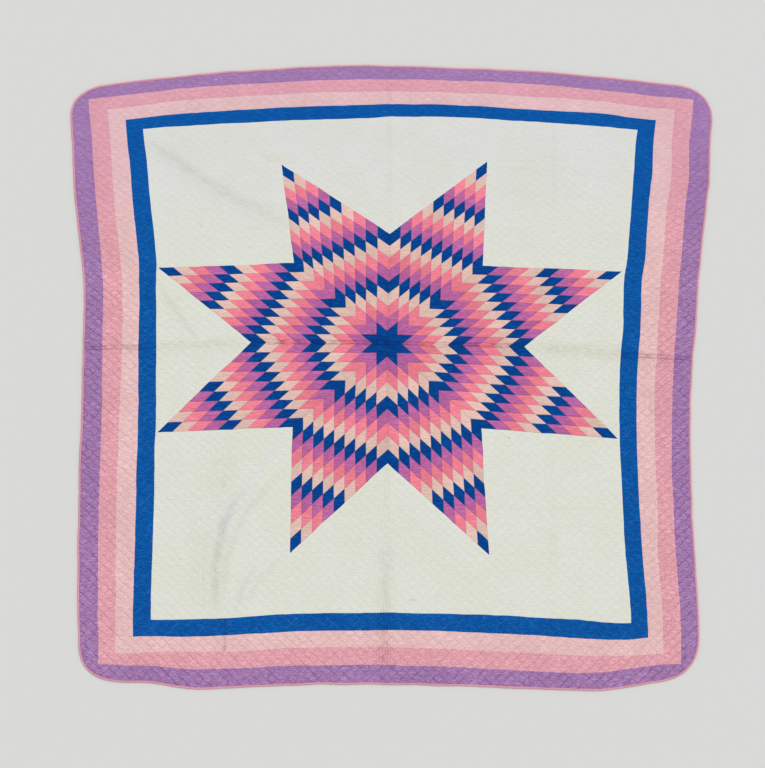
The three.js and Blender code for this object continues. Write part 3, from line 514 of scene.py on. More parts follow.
def sheet_faces(rows, columns):
    """Triangles of a closed sheet on a grid: the face, the underside on every second point, and the
    walls between them. The two sets of points are numbered one after the other."""
    top = np.arange((rows + 1) * (columns + 1)).reshape(rows + 1, columns + 1)
    foot = top.size + np.arange(top[::2, ::2].size).reshape(top[::2, ::2].shape)

    def wall(upper, lower):
        start, middle, end = upper[:-2:2], upper[1::2], upper[2::2]
        near, far = lower[:-1], lower[1:]
        threes = (start, near, middle), (middle, near, far), (middle, far, end)
        return [np.stack(three, axis=1) for three in threes]

    walls = [
        *wall(top[:, 0], foot[:, 0]), *wall(top[-1, :], foot[-1, :]),
        *wall(top[::-1, -1], foot[::-1, -1]), *wall(top[0, ::-1], foot[0, ::-1]),
    ]
    return split_faces(top), np.concatenate([split_faces(foot)[:, ::-1], *walls])


def make_mesh(name, points, triangles, maps, marks, slots, materials, tone=None):
    """A mesh object from whole arrays: points in millimetres on the plan, triangles, each map's and
    each mark's values at the points, and each triangle's material. Points that lie in the same place
    become one, and triangles that this flattens are left out."""
    placed = (points + (*TO_MIDDLE, 0.0)) * METRES
    rounded = np.round(placed, PLACE_DIGITS)
    _, first, index = np.unique(rounded, axis=0, return_index=True, return_inverse=True)
    triangles = first[index.ravel()][triangles]
    whole = (triangles != np.roll(triangles, 1, axis=1)).all(axis=1)
    used, compact = np.unique(triangles[whole], return_inverse=True)
    triangles = compact.reshape(-1, 3)
    mesh = bpy.data.meshes.new(name)
    mesh.from_pydata(placed[used], [], triangles)
    for label, values in maps.items():
        layer = mesh.uv_layers.new(name=label)
        layer.data.foreach_set("uv", values[used][triangles.ravel()].astype(np.float32).ravel())
    for label, values in marks.items():
        layer = mesh.attributes.new(label, "FLOAT_VECTOR", "POINT")
        layer.data.foreach_set("vector", values[used].astype(np.float32).ravel())
    if tone is not None:
        layer = mesh.attributes.new("tone", "FLOAT", "FACE")
        layer.data.foreach_set("value", tone[whole].astype(np.float32))
    for material in materials:
        mesh.materials.append(material)
    mesh.polygons.foreach_set("material_index", slots[whole].astype(np.int32))
    mesh.shade_smooth()
    mesh.set_sharp_from_angle(angle=CRISP_ANGLE)
    mesh.update()
    mesh.validate()
    piece = bpy.data.objects.new(name, mesh)
    bpy.context.scene.collection.objects.link(piece)
    return piece


def put_in_place(piece, node):
    """Puts a sewn piece in its node's place: hides the node's part and attaches the piece to the body."""
    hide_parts(node)
    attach(piece, BODY)


def sew(node, plan, rise, place, materials, face_slots, sizes, tone=None):
    """Makes one cut piece as a closed sheet on its plan and puts it in its node's place. The last
    material is the back's."""
    i, j = plan.shape[0] // 2, plan.shape[1] // 2
    plan = unsteady(plan)
    cloth = materials[0].name.removeprefix("cotton_")
    fold, band, sunk = fold_marks(plan, FINISHES[cloth]["part"], cloth)
    height = cloth_height(plan, rise, sizes) - sunk
    foot = plan[::2, ::2].reshape(-1, 2)
    points = np.concatenate((np.dstack((plan, height)).reshape(-1, 3), np.pad(foot, ((0, 0), (0, 1)))))
    face, rest = sheet_faces(plan.shape[0] - 1, plan.shape[1] - 1)
    threads = np.stack(np.meshgrid(lengths(plan[:, j]), lengths(plan[i]), indexing="ij"), axis=-1)
    maps = {label: np.concatenate((values.reshape(-1, 2), values[::2, ::2].reshape(-1, 2)))
            for label, values in (("hatch", place), ("cloth", threads * METRES))}
    marks = {label: np.pad(values.reshape(-1, 3), ((0, len(foot)), (0, 0)))
             for label, values in (("fold", fold), ("band", band))}
    triangles = np.concatenate((face, rest))
    if np.cross(plan[i + 1, j] - plan[i, j], plan[i, j + 1] - plan[i, j]) < 0:
        triangles = triangles[:, ::-1]
    slots = np.concatenate((face_slots, np.full(len(rest), len(materials) - 1)))
    shades = None if tone is None else np.pad(tone, (0, len(rest)))
    piece = make_mesh(f"sewn_{node}", points, triangles, maps, marks, slots, materials, shades)
    put_in_place(piece, node)


def sew_hatched(node, sides, materials, sizes, plump=1.0):
    """Sews a crosshatched piece, given its bottom, top, left and right edges as lists of lines. plump
    is how high its puffs stand, as a share of the tallest. Its grid has even numbers of steps."""
    long, wide = (max(sum(lengths(line)[-1] for line in lines) for lines in pair)
                  for pair in (sides[:2], sides[2:]))
    rows, columns = (max(4, 2 * round(size / sizes.grid / 2)) for size in (long, wide))
    plan = blended(*[edge(lines, count) for lines, count in zip(sides, (rows, rows, columns, columns))])
    place = hatch_place(plan)
    rise = plump * puffed(place) * (1 - seam_nearness(plan))
    face_slots = np.zeros(2 * rows * columns, int)
    sew(node, plan, rise, place, materials, face_slots, sizes)


def straight(*points):
    """Straight lines from each point to the next."""
    return [np.array((p, q), float) for p, q in zip(points[:-1], points[1:])]


def feed(tree, socket, value):
    """Links an input to an output, or sets it to a value."""
    value = getattr(value, "socket", value)
    if isinstance(value, bpy.types.NodeSocket):
        tree.links.new(value, socket)
    else:
        socket.default_value = value


def add_node(tree, kind, inputs, **settings):
    """Adds a node and feeds its inputs, given by their names or numbers."""
    node = tree.nodes.new(kind)
    for name, value in settings.items():
        setattr(node, name, value)
    for key, value in inputs.items():
        feed(tree, node.inputs[key], value)
    return node


class Number:
    """A number's output socket, on which plain arithmetic makes Math nodes."""

    def __init__(self, socket):
        self.socket = socket

    def math(self, operation, *others, clamp=False):
        """The result of a Math node on this number and others."""
        settings = {"operation": operation, "use_clamp": clamp}
        node = add_node(self.socket.id_data, "ShaderNodeMath", dict(enumerate((self, *others))), **settings)
        return Number(node.outputs[0])

    def eased(self, low, high, start, end):
        """This number eased from one range to another, held at its ends."""
        inputs = dict(enumerate((self, low, high, start, end)))
        node = add_node(self.socket.id_data, "ShaderNodeMapRange", inputs, interpolation_type="SMOOTHSTEP")
        return Number(node.outputs[0])

    def __add__(self, other):
        return self.math("ADD", other)

    def __sub__(self, other):
        return self.math("SUBTRACT", other)

    def __mul__(self, other):
        return self.math("MULTIPLY", other)

    def __truediv__(self, other):
        return self.math("DIVIDE", other)

    def __abs__(self):
        return self.math("ABSOLUTE")

    def rest(self):
        """One less this number."""
        return self.math("MULTIPLY_ADD", -1.0, 1.0)

    def most(self, other):
        """The greater of two numbers."""
        return self.math("MAXIMUM", other)


def split(tree, vector):
    """The three numbers of a vector."""
    return [Number(socket) for socket in add_node(tree, "ShaderNodeSeparateXYZ", {0: vector}).outputs]


def vector_math(tree, operation, *values):
    """The result of a Vector Math node on sockets, numbers or triples."""
    return add_node(tree, "ShaderNodeVectorMath", dict(enumerate(values)), operation=operation).outputs[0]


def object_place(tree):
    """Place in the piece's own space, in metres."""
    return tree.nodes.new("ShaderNodeTexCoord").outputs["Object"]


def on_map(tree, name):
    """Place on one of the piece's own maps."""
    return add_node(tree, "ShaderNodeUVMap", {}, uv_map=name).outputs[0]


def noise_texture(tree, place, scale, detail, roughness=0.5):
    """Blender's own noise at a place."""
    inputs = {"Vector": place, "Scale": scale, "Detail": detail, "Roughness": roughness}
    return Number(add_node(tree, "ShaderNodeTexNoise", inputs).outputs[0])


def stretched(tree, place, size, turn=0.0):
    """A place turned, and scaled along both of its axes."""
    return add_node(tree, "ShaderNodeMapping", {0: place, 2: (0.0, 0.0, turn), 3: (*size, 1.0)}).outputs[0]


def mix_colour(tree, factor, first, second, mode="MIX"):
    """Two colours mixed by a factor."""
    inputs = {0: factor, 6: first, 7: second}
    return add_node(tree, "ShaderNodeMix", inputs, data_type="RGBA", blend_type=mode).outputs[2]


# The share of a stitch's pitch on which its thread shows, and how far apart in the noise of the
# ripples two patches can lie.
DASH = 0.62
PATCH_SHIFT = 40.0


def stitched_lines(tree, given):
    """Ditch is 1 on a stitched line and eases to 0 beside it; the cotton bumps it in and paints shade on it.
    Thread is 1 on the stitches, dashes along the line. Both come from the piece's hatch map, whose whole numbers
    are the lines. Patch is a random number for each patch between lines. Lean makes the lines that fall to the
    right fainter towards the quilt's right, and the lines that rise fainter towards its left, as light falling
    from one side shows them.
    Depth is 1 over the lower half and eases towards the top, which weakens the ditches' painted shade and their
    bump up there."""
    here = object_place(tree)
    wobble = (noise_texture(tree, here, 80.0, 2.0) - 0.5) * given["Wobble"]
    place = vector_math(tree, "ADD", on_map(tree, "hatch"), wobble)
    (falling, rising, _), (sideways, lengthwise, _) = split(tree, place), split(tree, here)
    depth = lengthwise.eased(0.1, 0.85, 1.0, 0.3)
    fainter = sideways.eased(-0.8, 0.8, 0.0, 1.0) * given["Lean"]
    ditches, threads = [], []
    for across, along, faint in ((falling, rising, fainter), (rising, falling, given["Lean"] - fainter)):
        away = abs(across - across.math("ROUND")) * given["Spacing"]
        ditches.append(away.eased(0.0, given["Ditch Width"], 1.0, 0.0) * faint.rest())
        dash = (along * (given["Crossing"] / given["Stitch"])).math("FRACT")
        threads.append(dash.math("LESS_THAN", DASH) * away.math("LESS_THAN", given["Thread"] * 0.5))
    cell = {"Vector": vector_math(tree, "FLOOR", place)}
    patch = add_node(tree, "ShaderNodeTexWhiteNoise", cell).outputs["Value"]
    return {"Ditch": ditches[0].most(ditches[1]) * depth, "Thread": threads[0].most(threads[1]),
            "Patch": patch, "Depth": depth}


def cotton_weave(tree, given):
    """Height is a plain weave: the product of two sines along the cloth map's threads, roughened by
    noise. Slub is the thicker threads, long thin noise both ways."""
    place = on_map(tree, "cloth")
    waves = [(way / given["Thread Pitch"] * FULL_TURN).math("SINE") for way in split(tree, place)[:2]]
    slubs = [noise_texture(tree, stretched(tree, place, size), 1.0, 1.0) for size in ((60, 900), (900, 60))]
    slub = (slubs[0] + slubs[1]) * 0.5
    return {"Height": waves[0] * waves[1] * 0.5 + slub, "Slub": slub}


def ridged(tree, place, sharpness):
    """Thin ridges where a noise passes its middle: one less its distance from a half, made sharper."""
    away = abs(noise_texture(tree, place, 1.0, 1.5, 0.55) - 0.5)
    return away.math("MULTIPLY_ADD", -sharpness, 1.0, clamp=True)


def washed_crinkle(tree, given):
    """Height is the long crinkling of washed cotton: ridged noise drawn out across the quilt and
    slantwise. Ripple is the short level waves that the filling's shrinking leaves between the
    stitched lines, broken off at each line by Patch. Fade is slow noise for dye that has washed
    out unevenly, Patchy is quicker noise that breaks up lines, and Rough is finer still."""
    place = object_place(tree)
    heights = [ridged(tree, stretched(tree, place, (34, 100), turn), 7.0) for turn in (-0.6, 0.7)]
    shift = add_node(tree, "ShaderNodeCombineXYZ", {2: given["Patch"] * PATCH_SHIFT}).outputs[0]
    ripples = [ridged(tree, vector_math(tree, "ADD", stretched(tree, place, size, turn), shift), 12.0)
               for turn, size in ((0.1, (22, 96)), (-0.15, (30, 130)))]
    return {"Height": (heights[0] + heights[1]) / 2.0, "Ripple": ripples[0].most(ripples[1]),
            "Fade": noise_texture(tree, place, 6.0, 4.0, 0.62),
            "Patchy": noise_texture(tree, place, 38.0, 2.0), "Rough": noise_texture(tree, place, 90.0, 3.0)}


def spot(tree, given):
    """Mask of a stain: an ellipse round a centre, with a soft rim made ragged by Rough. Ring is its
    darker tide line, 1 at the rim and as wide as Rim, a share of its size."""
    x, y, _ = split(tree, object_place(tree))
    across, along = (x - given["X"]) / given["Half Width"], (y - given["Y"]) / given["Half Height"]
    ragged = (given["Rough"] - 0.5) * 0.5 + (across * across + along * along).math("SQRT")
    return {"Mask": ragged.eased(0.55, 1.15, 1.0, 0.0),
            "Ring": abs(ragged - 0.95).eased(0.0, given["Rim"], 1.0, 0.0)}


def worn_fold(tree, given):
    """Mask of a fold's two thin lines, painted as shade and on the white partly as real yellowish soiling, 1
    where the distance Away from the fold is half their gap, and Pleats, the fine ones beside it, whose troughs
    are painted as shade, a cosine of the distance. Line and Pleat are how strong each is there. Patchy makes
    both wander and breaks them up."""
    away = (given["Patchy"] - 0.5) * 0.012 + abs(given["Away"])
    line = abs(away - given["Gap"]).eased(0.0, given["Width"], 1.0, 0.0)
    shown = given["Patchy"].eased(0.35, 0.65, 0.4, 1.0)
    wave = (away / given["Pitch"] * FULL_TURN).math("COSINE")
    trough = (wave * 0.5 + 0.5).math("POWER", 2.5)
    return {"Mask": line * given["Line"] * shown, "Pleats": trough * (given["Pleat"] * shown)}


def whipped_edge(tree, given):
    """Mask is 1 on the slanting whip stitches that hold the binding down, which the cotton raises and paints
    lighter as a highlight:
    a sine along the cloth map, its turns shifted by the way round the binding."""
    along, around, _ = split(tree, on_map(tree, "cloth"))
    turns = along / given["Pitch"] + around / given["Slant"]
    return {"Mask": (turns * FULL_TURN).math("SINE").eased(-0.2, 0.8, 0.0, 1.0)}


# The shared groups, with their inputs and what those are unless a material gives them.
GROUPS = {
    stitched_lines: {"Spacing": LINE_SPACING, "Crossing": CROSSING_SPACING, "Ditch Width": 3.0,
                     "Stitch": 3.0, "Thread": 1.0, "Wobble": 0.55, "Lean": 0.45},
    cotton_weave: {"Thread Pitch": 0.0007},
    washed_crinkle: {"Patch": 0.0},
    spot: {"X": 0.0, "Y": 0.0, "Half Width": 0.02, "Half Height": 0.01, "Rim": 0.22, "Rough": 0.5},
    worn_fold: {"Away": 0.0, "Line": 0.0, "Pleat": 0.0, "Patchy": 0.5, "Gap": 0.005, "Width": 0.0045,
                "Pitch": 0.0075},
    whipped_edge: {"Pitch": 0.005, "Slant": 0.012},
}


def make_groups():
    """Builds the shared groups of numbers once."""
    for build, inputs in GROUPS.items():
        if build.__name__ in bpy.data.node_groups:
            continue
        group = bpy.data.node_groups.new(build.__name__, "ShaderNodeTree")
        for label, default in inputs.items():
            added = group.interface.new_socket(label, in_out="INPUT", socket_type="NodeSocketFloat")
            added.default_value = default
        given = {socket.name: Number(socket) for socket in group.nodes.new("NodeGroupInput").outputs}
        results = build(group, given)
        for label in results:
            group.interface.new_socket(label, in_out="OUTPUT", socket_type="NodeSocketFloat")
        add_node(group, "NodeGroupOutput", results)


def use_group(tree, build, **values):
    """Places a shared group in a material with its own values or links, and gives its outputs."""
    node = tree.nodes.new("ShaderNodeGroup")
    node.node_tree = bpy.data.node_groups[build.__name__]
    for label, value in values.items():
        feed(tree, node.inputs[label.replace("_", " ")], value)
    return {socket.name: Number(socket) for socket in node.outputs}


def shade(colour, factor):
    """A colour made darker or lighter, by one factor or by one for each channel."""
    return (*[min(1.0, float(channel)) for channel in np.multiply(colour, factor)], 1.0)


def deepened(colour, share):
    """A colour made deeper in its own hue: its strongest channel times the share, and each other one
    times the share to a power that grows by how far it falls short of the strongest."""
    strongest = max(colour[:3])
    return (*[c * share ** (2 - c / strongest) for c in colour[:3]], 1.0)


# Marks of age: the cloths that have each, the middle and half size in millimetres on the plan, the
# colour, how strong the mark and its rim are, and the rim's width as a share of the size.
YELLOWED, TIDE, LOOSE_THREAD = (0.62, 0.5, 0.27, 1.0), (0.42, 0.34, 0.2, 1.0), (0.85, 0.84, 0.8, 1.0)
SPOTS = (
    ("pale", (-589, 811), (22, 13), TIDE, 0.02, 0.5, 0.15),
    ("pale", (-479, 817), (24, 8), YELLOWED, 0.16, 0.1, 0.22),
    ("white", (-565, 453), (7, 6), YELLOWED, 0.28, 0.1, 0.3),
    ("white", (-351, 652), (21, 11), YELLOWED, 0.13, 0.3, 0.22),
    ("white", (391, 734), (6, 5), YELLOWED, 0.35, 0.1, 0.22),
    ("white", (321, -496), (9, 7), YELLOWED, 0.2, 0.1, 0.22),
    ("white", (64, -659), (13, 5), YELLOWED, 0.45, 0.1, 0.22),
    ("white", (349, -178), (4, 3), TIDE, 0.6, 0.0, 0.22),
    ("white", (-541, -308), (7, 6), YELLOWED, 0.22, 0.0, 0.22),
    ("white", (-497, -314), (9, 14), YELLOWED, 0.25, 0.0, 0.22),
    ("lavender binding", (-898, -874), (7, 6), LOOSE_THREAD, 1.0, 0.0, 0.22),
    ("lavender", (-520, 886), (3, 2), LOOSE_THREAD, 0.45, 0.0, 0.22),
)

# How each cotton is finished. The ditch shade is the brightness that painted shade leaves on the stitched lines.
# crinkle and ripple are how dark the painted shade in the long crinkles and the short ripples is, thread is how
# much the stitches show, gloss is the cloth's, and relief is the height of its fine folds, in millimetres.
FINISH_COLUMNS = ("part", "ditch", "crinkle", "ripple", "thread", "gloss", "relief")
FINISHES = {name: dict(zip(FINISH_COLUMNS, values)) for name, values in {
    "white": ("ground", 0.965, 0.05, 0.06, 0.0, 0.2, 0.4),
    "blue": ("border", 0.85, 0.35, 0.6, 0.45, 0.04, 1.2),
    "pale": ("border", 0.83, 0.05, 0.28, 0.0, 0.2, 0.7),
    "pink": ("border", 0.76, 0.08, 0.46, 0.0, 0.2, 0.8),
    "lavender": ("border", 0.58, 0.1, 0.7, 0.0, 0.1, 1.0),
    "binding": ("binding", 1.0, 0.1, 0.0, 0.0, 0.2, 0.5),
    "patch_blue": ("star", 0.93, 0.45, 0.5, 0.0, 0.04, 1.4),
    "patch_orchid": ("star", 0.93, 0.2, 0.4, 0.0, 0.1, 1.0),
    "patch_pink": ("star", 0.93, 0.08, 0.22, 0.0, 0.2, 0.9),
    "patch_peach": ("star", 0.93, 0.05, 0.1, 0.0, 0.2, 0.8),
    "back": ("back", 0.9, 0.12, 0.12, 0.1, 0.2, 0.8),
}.items()}
STAR_LINES = {
    "Spacing": 38.0, "Crossing": 38.0, "Ditch_Width": 1.6, "Thread": 0.0, "Wobble": 0.0, "Lean": 0.0,
}
# How dark the painted shade is, as shares of the cloth's colour: in the crinkles and ripples, and on folds
# across the borders and the star.
CRINKLE_SHADE_SHARE, FOLD_SHADE_SHARE = 0.6, 0.42
QUILTING_THREAD = (0.14, 0.35, 0.72, 1.0)

# How much deeper and lighter the dye is where it has washed out unevenly, how far the diamonds differ,
# how much painted grey shade a fold's pleat troughs get, and how much lighter the painted highlight on the whip
# stitches is and how much it shows.
# Last, how dull the cloth is, and how much duller on its slubs.
DEEPER, LIGHTER = 0.94, 1.04
DIAMOND_CHANGE = 0.07
PLEAT_SHADE = 0.6
WHIP_HIGHLIGHT = {"brightness": 1.3, "shown": 0.35}
DULL, SLUB_DULL = 0.82, 0.14

# What uneven washing does to the white, what the light at the top does to the ground and the borders,
# and the colours that folds put on the white: yellowish soiling with painted shade, and grey and blue painted
# shade.
WARMED, FRESHENED = (0.985, 0.975, 0.945), (1.005, 1.01, 1.04)
COOLED = {"ground": (0.96, 0.95, 1.02, 1.0), "border": (0.91, 0.92, 0.97, 1.0)}
SOIL_AND_SHADE, GREY_SHADE, BLUE_SHADE = (0.5, 0.43, 0.27, 1.0), (0.43, 0.44, 0.39, 1.0), (0.58, 0.62, 0.76, 1.0)

# How deep each of these lies or stands, where a stitched line is 1 deep.
RELIEF = {"crinkle": -1.2, "ripple": -0.9, "pleats": -0.8, "weave": 0.06, "whipping": 0.8}


def attribute(tree, name, output):
    """One of a mesh's own attributes."""
    return add_node(tree, "ShaderNodeAttribute", {}, attribute_name=name).outputs[output]


def worn(tree, tint, name, deep, wash):
    """A cloth's colour with its folds' painted shade, partly real soiling on the white, its stains and loose
    threads, and the mask of its pleats.
    """
    ground = FINISHES[name]["part"] == "ground"
    # The folds' lines, pleat troughs and bands are painted shade, on the white partly real yellowish soiling.
    away, line, pleat = split(tree, attribute(tree, "fold", "Vector"))
    fold = use_group(tree, worn_fold, Away=away, Line=line, Pleat=pleat, Patchy=wash["Patchy"])
    patchy = wash["Patchy"].eased(0.3, 0.7, 0.55, 1.2)
    bands = split(tree, attribute(tree, "band", "Vector"))
    layers = [(band * patchy, colour) for band, colour in zip(bands, (SOIL_AND_SHADE, GREY_SHADE, BLUE_SHADE))]
    # Painted grey shade in the fold's pleat troughs.
    grey_shade = fold["Pleats"].math("MULTIPLY", PLEAT_SHADE, clamp=True)
    layers += (fold["Mask"], SOIL_AND_SHADE), (grey_shade, GREY_SHADE)
    for mask, colour in layers:
        tint = mix_colour(tree, mask, tint, colour if ground else deep)
    for on, middle, half, colour, mark, rim, wide in SPOTS:
        if name not in on.split():
            continue
        (x, y), (across, along) = (middle + TO_MIDDLE) * METRES, np.array(half) * METRES
        size = {"Half_Width": across, "Half_Height": along, "Rim": wide}
        stain = use_group(tree, spot, X=x, Y=y, Rough=wash["Rough"], **size)
        for mask, share in ((stain["Mask"], mark), (stain["Ring"], rim)):
            if share:
                tint = mix_colour(tree, mask * share, tint, colour)
    return tint, fold["Pleats"]


def cotton(name, colour):
    """A quilted cotton: dye washed out unevenly, painted shade on the stitched lines, in the crinkles and
    ripples and on folds, where there is partly real soiling on the white, marks of age, and a height from all of
    these and the weave."""
    finish = FINISHES[name]
    part, relief = finish["part"], finish["relief"]
    material = bpy.data.materials.new(f"cotton_{name}")
    material.use_nodes = True
    tree = material.node_tree
    lines = use_group(tree, stitched_lines, **(STAR_LINES if part == "star" else {}))
    weave = use_group(tree, cotton_weave)
    wash = use_group(tree, washed_crinkle, Patch=lines["Patch"])
    deep = deepened(colour, CRINKLE_SHADE_SHARE)
    if part == "ground":
        ends = shade(colour, WARMED), shade(colour, FRESHENED)
    else:
        ends = deepened(colour, DEEPER), shade(colour, LIGHTER)
    tint = mix_colour(tree, wash["Fade"].eased(0.3, 0.7, 0.0, 1.0), *ends)
    if part in COOLED:
        upward = lines["Depth"].eased(0.3, 1.0, 1.0, 0.0)
        tint = mix_colour(tree, upward, tint, COOLED[part], "MULTIPLY")
    if part == "star":
        brightness = Number(attribute(tree, "tone", "Fac")) * DIAMOND_CHANGE + 1.0
        changed = {"Value": brightness, "Color": tint}
        tint = add_node(tree, "ShaderNodeHueSaturation", changed).outputs[0]
    # Painted shade in the long crinkles and the short ripples, in a darker copy of the cloth's own colour.
    crinkle_shade = wash["Height"].eased(0.1, 0.7, 0.0, 1.0)
    rippled = wash["Ripple"] * wash["Ripple"] * (lines["Depth"] * 0.5 + 0.5)
    broken = wash["Patchy"].eased(0.38, 0.6, 0.12, 1.0)
    tint = mix_colour(tree, crinkle_shade * finish["crinkle"], tint, deep)
    tint = mix_colour(tree, rippled * finish["ripple"], tint, deep)
    # Painted shade in the ditches of the stitched lines, in a darker copy of the cloth's own colour.
    tint = mix_colour(tree, lines["Ditch"] * broken, tint, deepened(colour, finish["ditch"]))
    if finish["thread"]:
        seen = lines["Depth"] * broken * finish["thread"]
        tint = mix_colour(tree, lines["Thread"] * seen, tint, QUILTING_THREAD)
    height = wash["Height"] * RELIEF["crinkle"] - lines["Ditch"]
    height += rippled * RELIEF["ripple"] + weave["Height"] * RELIEF["weave"]
    if part in ("ground", "border", "star"):
        tint, pleats = worn(tree, tint, name, deepened(colour, FOLD_SHADE_SHARE), wash)
        height += pleats * (RELIEF["pleats"] / relief)
    if name == "binding":
        stitches = use_group(tree, whipped_edge)["Mask"]
        # A painted highlight on the whip stitches, in a lighter copy of the binding's own colour.
        highlight = shade(colour, WHIP_HIGHLIGHT["brightness"])
        tint = mix_colour(tree, stitches * WHIP_HIGHLIGHT["shown"], tint, highlight)
        height += stitches * RELIEF["whipping"]
    bump = add_node(tree, "ShaderNodeBump", {"Strength": 1.0, "Distance": relief * METRES, "Height": height})
    looks = {"Base Color": tint, "Normal": bump.outputs[0], "Roughness": weave["Slub"] * SLUB_DULL + DULL,
             "Specular IOR Level": finish["gloss"], "Sheen Weight": finish["gloss"] / 2}
    for label, value in looks.items():
        feed(tree, tree.nodes["Principled BSDF"].inputs[label], value)
    return material


def size_property(name, words, default, low, high):
    """A size in millimetres."""
    limits = {"default": default, "min": low, "max": high}
    return FloatProperty(name=name, description=f"{words}, in millimetres", **limits)


def colour_property(name, of, *default):
    """The colour of a cloth."""
    return FloatVectorProperty(name=name, description=f"Colour of {of}", default=default, subtype="COLOR")


class QuiltSizes(bpy.types.PropertyGroup):
    """Sizes of the quilting and colours of the cotton."""

    stitched: size_property("Stitched thickness", "Thickness at the stitches", 2.8, 1.0, 6.0)
    puff: size_property("Puff", "Height of the puffs above the stitches", 1.2, 0.0, 6.0)
    grid: size_property("Grid", "Distance between the points of the cloth", 3.6, 2.0, 12.0)
    patch_steps: IntProperty(
        name="Patch steps", description="Steps along the side of each diamond of the star",
        default=12, min=4, max=16, subtype="UNSIGNED",
    )
    white: colour_property("White", "the ground", 0.684, 0.697, 0.623)
    blue: colour_property("Blue", "the blue border", 0.003, 0.125, 0.438)
    pale: colour_property("Pale pink", "the pale pink border", 0.808, 0.535, 0.534)
    pink: colour_property("Pink", "the pink border", 0.806, 0.401, 0.461)
    lavender: colour_property("Lavender", "the lavender border", 0.426, 0.241, 0.479)
    binding: colour_property("Binding", "the binding", 0.66, 0.3, 0.37)
    patch_blue: colour_property("Patch blue", "the star's blue diamonds", 0.001, 0.077, 0.328)
    patch_orchid: colour_property("Patch orchid", "the star's orchid diamonds", 0.516, 0.151, 0.389)
    patch_pink: colour_property("Patch pink", "the star's pink diamonds", 0.856, 0.227, 0.298)
    patch_peach: colour_property("Patch peach", "the star's peach diamonds", 0.732, 0.504, 0.44)


def cloths(sizes, *names):
    """The named cottons and the back's, each made on first use. The back is of the ground's white."""
    make_groups()
    return [bpy.data.materials.get(f"cotton_{name}") or cotton(name, getattr(sizes, own))
            for name, own in (*zip(names, names), ("back", "white"))]


class QUILT_OT_star(bpy.types.Operator):
    """Sew the star's eight points from their diamonds"""

    bl_idname = "quilt.star"
    bl_label = "Star"

    def execute(self, context):
        sizes = context.scene.quilt_sizes
        steps = sizes.patch_steps
        count = DIAMONDS * steps
        materials = cloths(sizes, *[f"patch_{row}" for row in PATCH_ROWS])
        row, beside = np.indices((count, count)) // steps
        face_slots = np.tile(((row + beside) % len(PATCH_ROWS)).ravel(), 2)
        lattice = np.moveaxis(np.indices((count + 1, count + 1)) / steps, 0, -1)
        rise = STAR_PUFF * puffed(lattice)
        befores = [list(INNERS.values())[n - 1] for n in range(len(POINTS))]
        for n, (name, before) in enumerate(zip(POINTS, befores)):
            after, tip = INNERS[name], TIPS[name]
            tones = np.random.default_rng(TONE_SEED + n).uniform(-1, 1, (DIAMONDS, DIAMONDS))
            ends = (STAR_MIDDLE, before), (after, tip), (STAR_MIDDLE, after), (before, tip)
            plan = blended(*[drawn_up(start, end, count) for start, end in ends])
            sew(f"star_point_{name}", plan, rise, lattice, materials, face_slots,
                sizes, tone=np.tile(tones[row, beside].ravel(), 2))
        return {"FINISHED"}


class QUILT_OT_ground(bpy.types.Operator):
    """Sew the white squares, triangles and strips round the star"""

    bl_idname = "quilt.ground"
    bl_label = "White ground"

    def execute(self, context):
        sizes = context.scene.quilt_sizes
        materials = cloths(sizes, "white")
        ends = {}
        for side in UPRIGHT:
            heights = {level: TIPS[f"{side}_{level}"][1] for level in ("upper", "lower")}
            heights |= {level: STRIP_SEAMS[level][side] for level in LEVEL}
            ends |= {(side, name): seam(side, 0, y, y)[0] for name, y in heights.items()}

        def level_triangle(apex, first, last):
            middle = (TIPS[first] + TIPS[last]) / 2
            return (straight(INNERS[apex], TIPS[first]), straight(TIPS[last], middle),
                    straight(INNERS[apex], TIPS[last]), straight(TIPS[first], middle))

        def upright_triangle(side, apex):
            upper, lower = ends[side, "upper"], ends[side, "lower"]
            halfway = (upper[1] + lower[1]) / 2
            return (straight(INNERS[apex], TIPS[f"{side}_upper"], upper), [seam(side, 0, lower[1], halfway)],
                    straight(INNERS[apex], TIPS[f"{side}_lower"], lower), [seam(side, 0, upper[1], halfway)])

        def corner_square(side, level, beside, inner):
            start, end, far = ends[side, beside], ends[side, level], TIPS[f"{level}_{side}"]
            return (straight(start, TIPS[f"{side}_{beside}"], INNERS[inner]), straight(end, far),
                    [seam(side, 0, start[1], end[1])], straight(INNERS[inner], far))

        def white_strip(level):
            left, right = (seam_corner(side, 0, level, 0) for side in UPRIGHT)
            start, end = (ends[side, level] for side in UPRIGHT)
            tips = [TIPS[f"{level}_{side}"] for side in UPRIGHT]
            return (straight(start, *tips, end), [seam(level, 0, left[0], right[0])],
                    [seam("left", 0, start[1], left[1])], [seam("right", 0, end[1], right[1])])

        for node, sides in {
            "side_triangle_top": level_triangle("top_right", "top_right", "top_left"),
            "side_triangle_bottom": level_triangle("bottom_left", "bottom_left", "bottom_right"),
            "side_triangle_left": upright_triangle("left", "left_upper"),
            "side_triangle_right": upright_triangle("right", "right_lower"),
            "corner_square_top_left": corner_square("left", "top", "upper", "top_left"),
            "corner_square_bottom_left": corner_square("left", "bottom", "lower", "left_lower"),
            "corner_square_bottom_right": corner_square("right", "bottom", "lower", "bottom_right"),
            "corner_square_top_right": corner_square("right", "top", "upper", "right_upper"),
            "white_strip_top": white_strip("top"),
            "white_strip_bottom": white_strip("bottom"),
        }.items():
            sew_hatched(node, sides, materials, sizes, GROUND_PUFF)
        return {"FINISHED"}


class QUILT_OT_borders(bpy.types.Operator):
    """Sew the four rings of border strips, butted at their corners"""

    bl_idname = "quilt.borders"
    bl_label = "Borders"

    def execute(self, context):
        sizes = context.scene.quilt_sizes
        corners = {key: rounded_corner(*key) for key in ROUNDING}
        for n, (ring, slot) in enumerate(zip(RINGS, RING_SLOTS)):
            for side in BUTTED:
                edges = strip_edges(side, n, corners)
                sew_hatched(f"{ring}_strip_{side}", edges, cloths(sizes, ring), sizes)
        return {"FINISHED"}


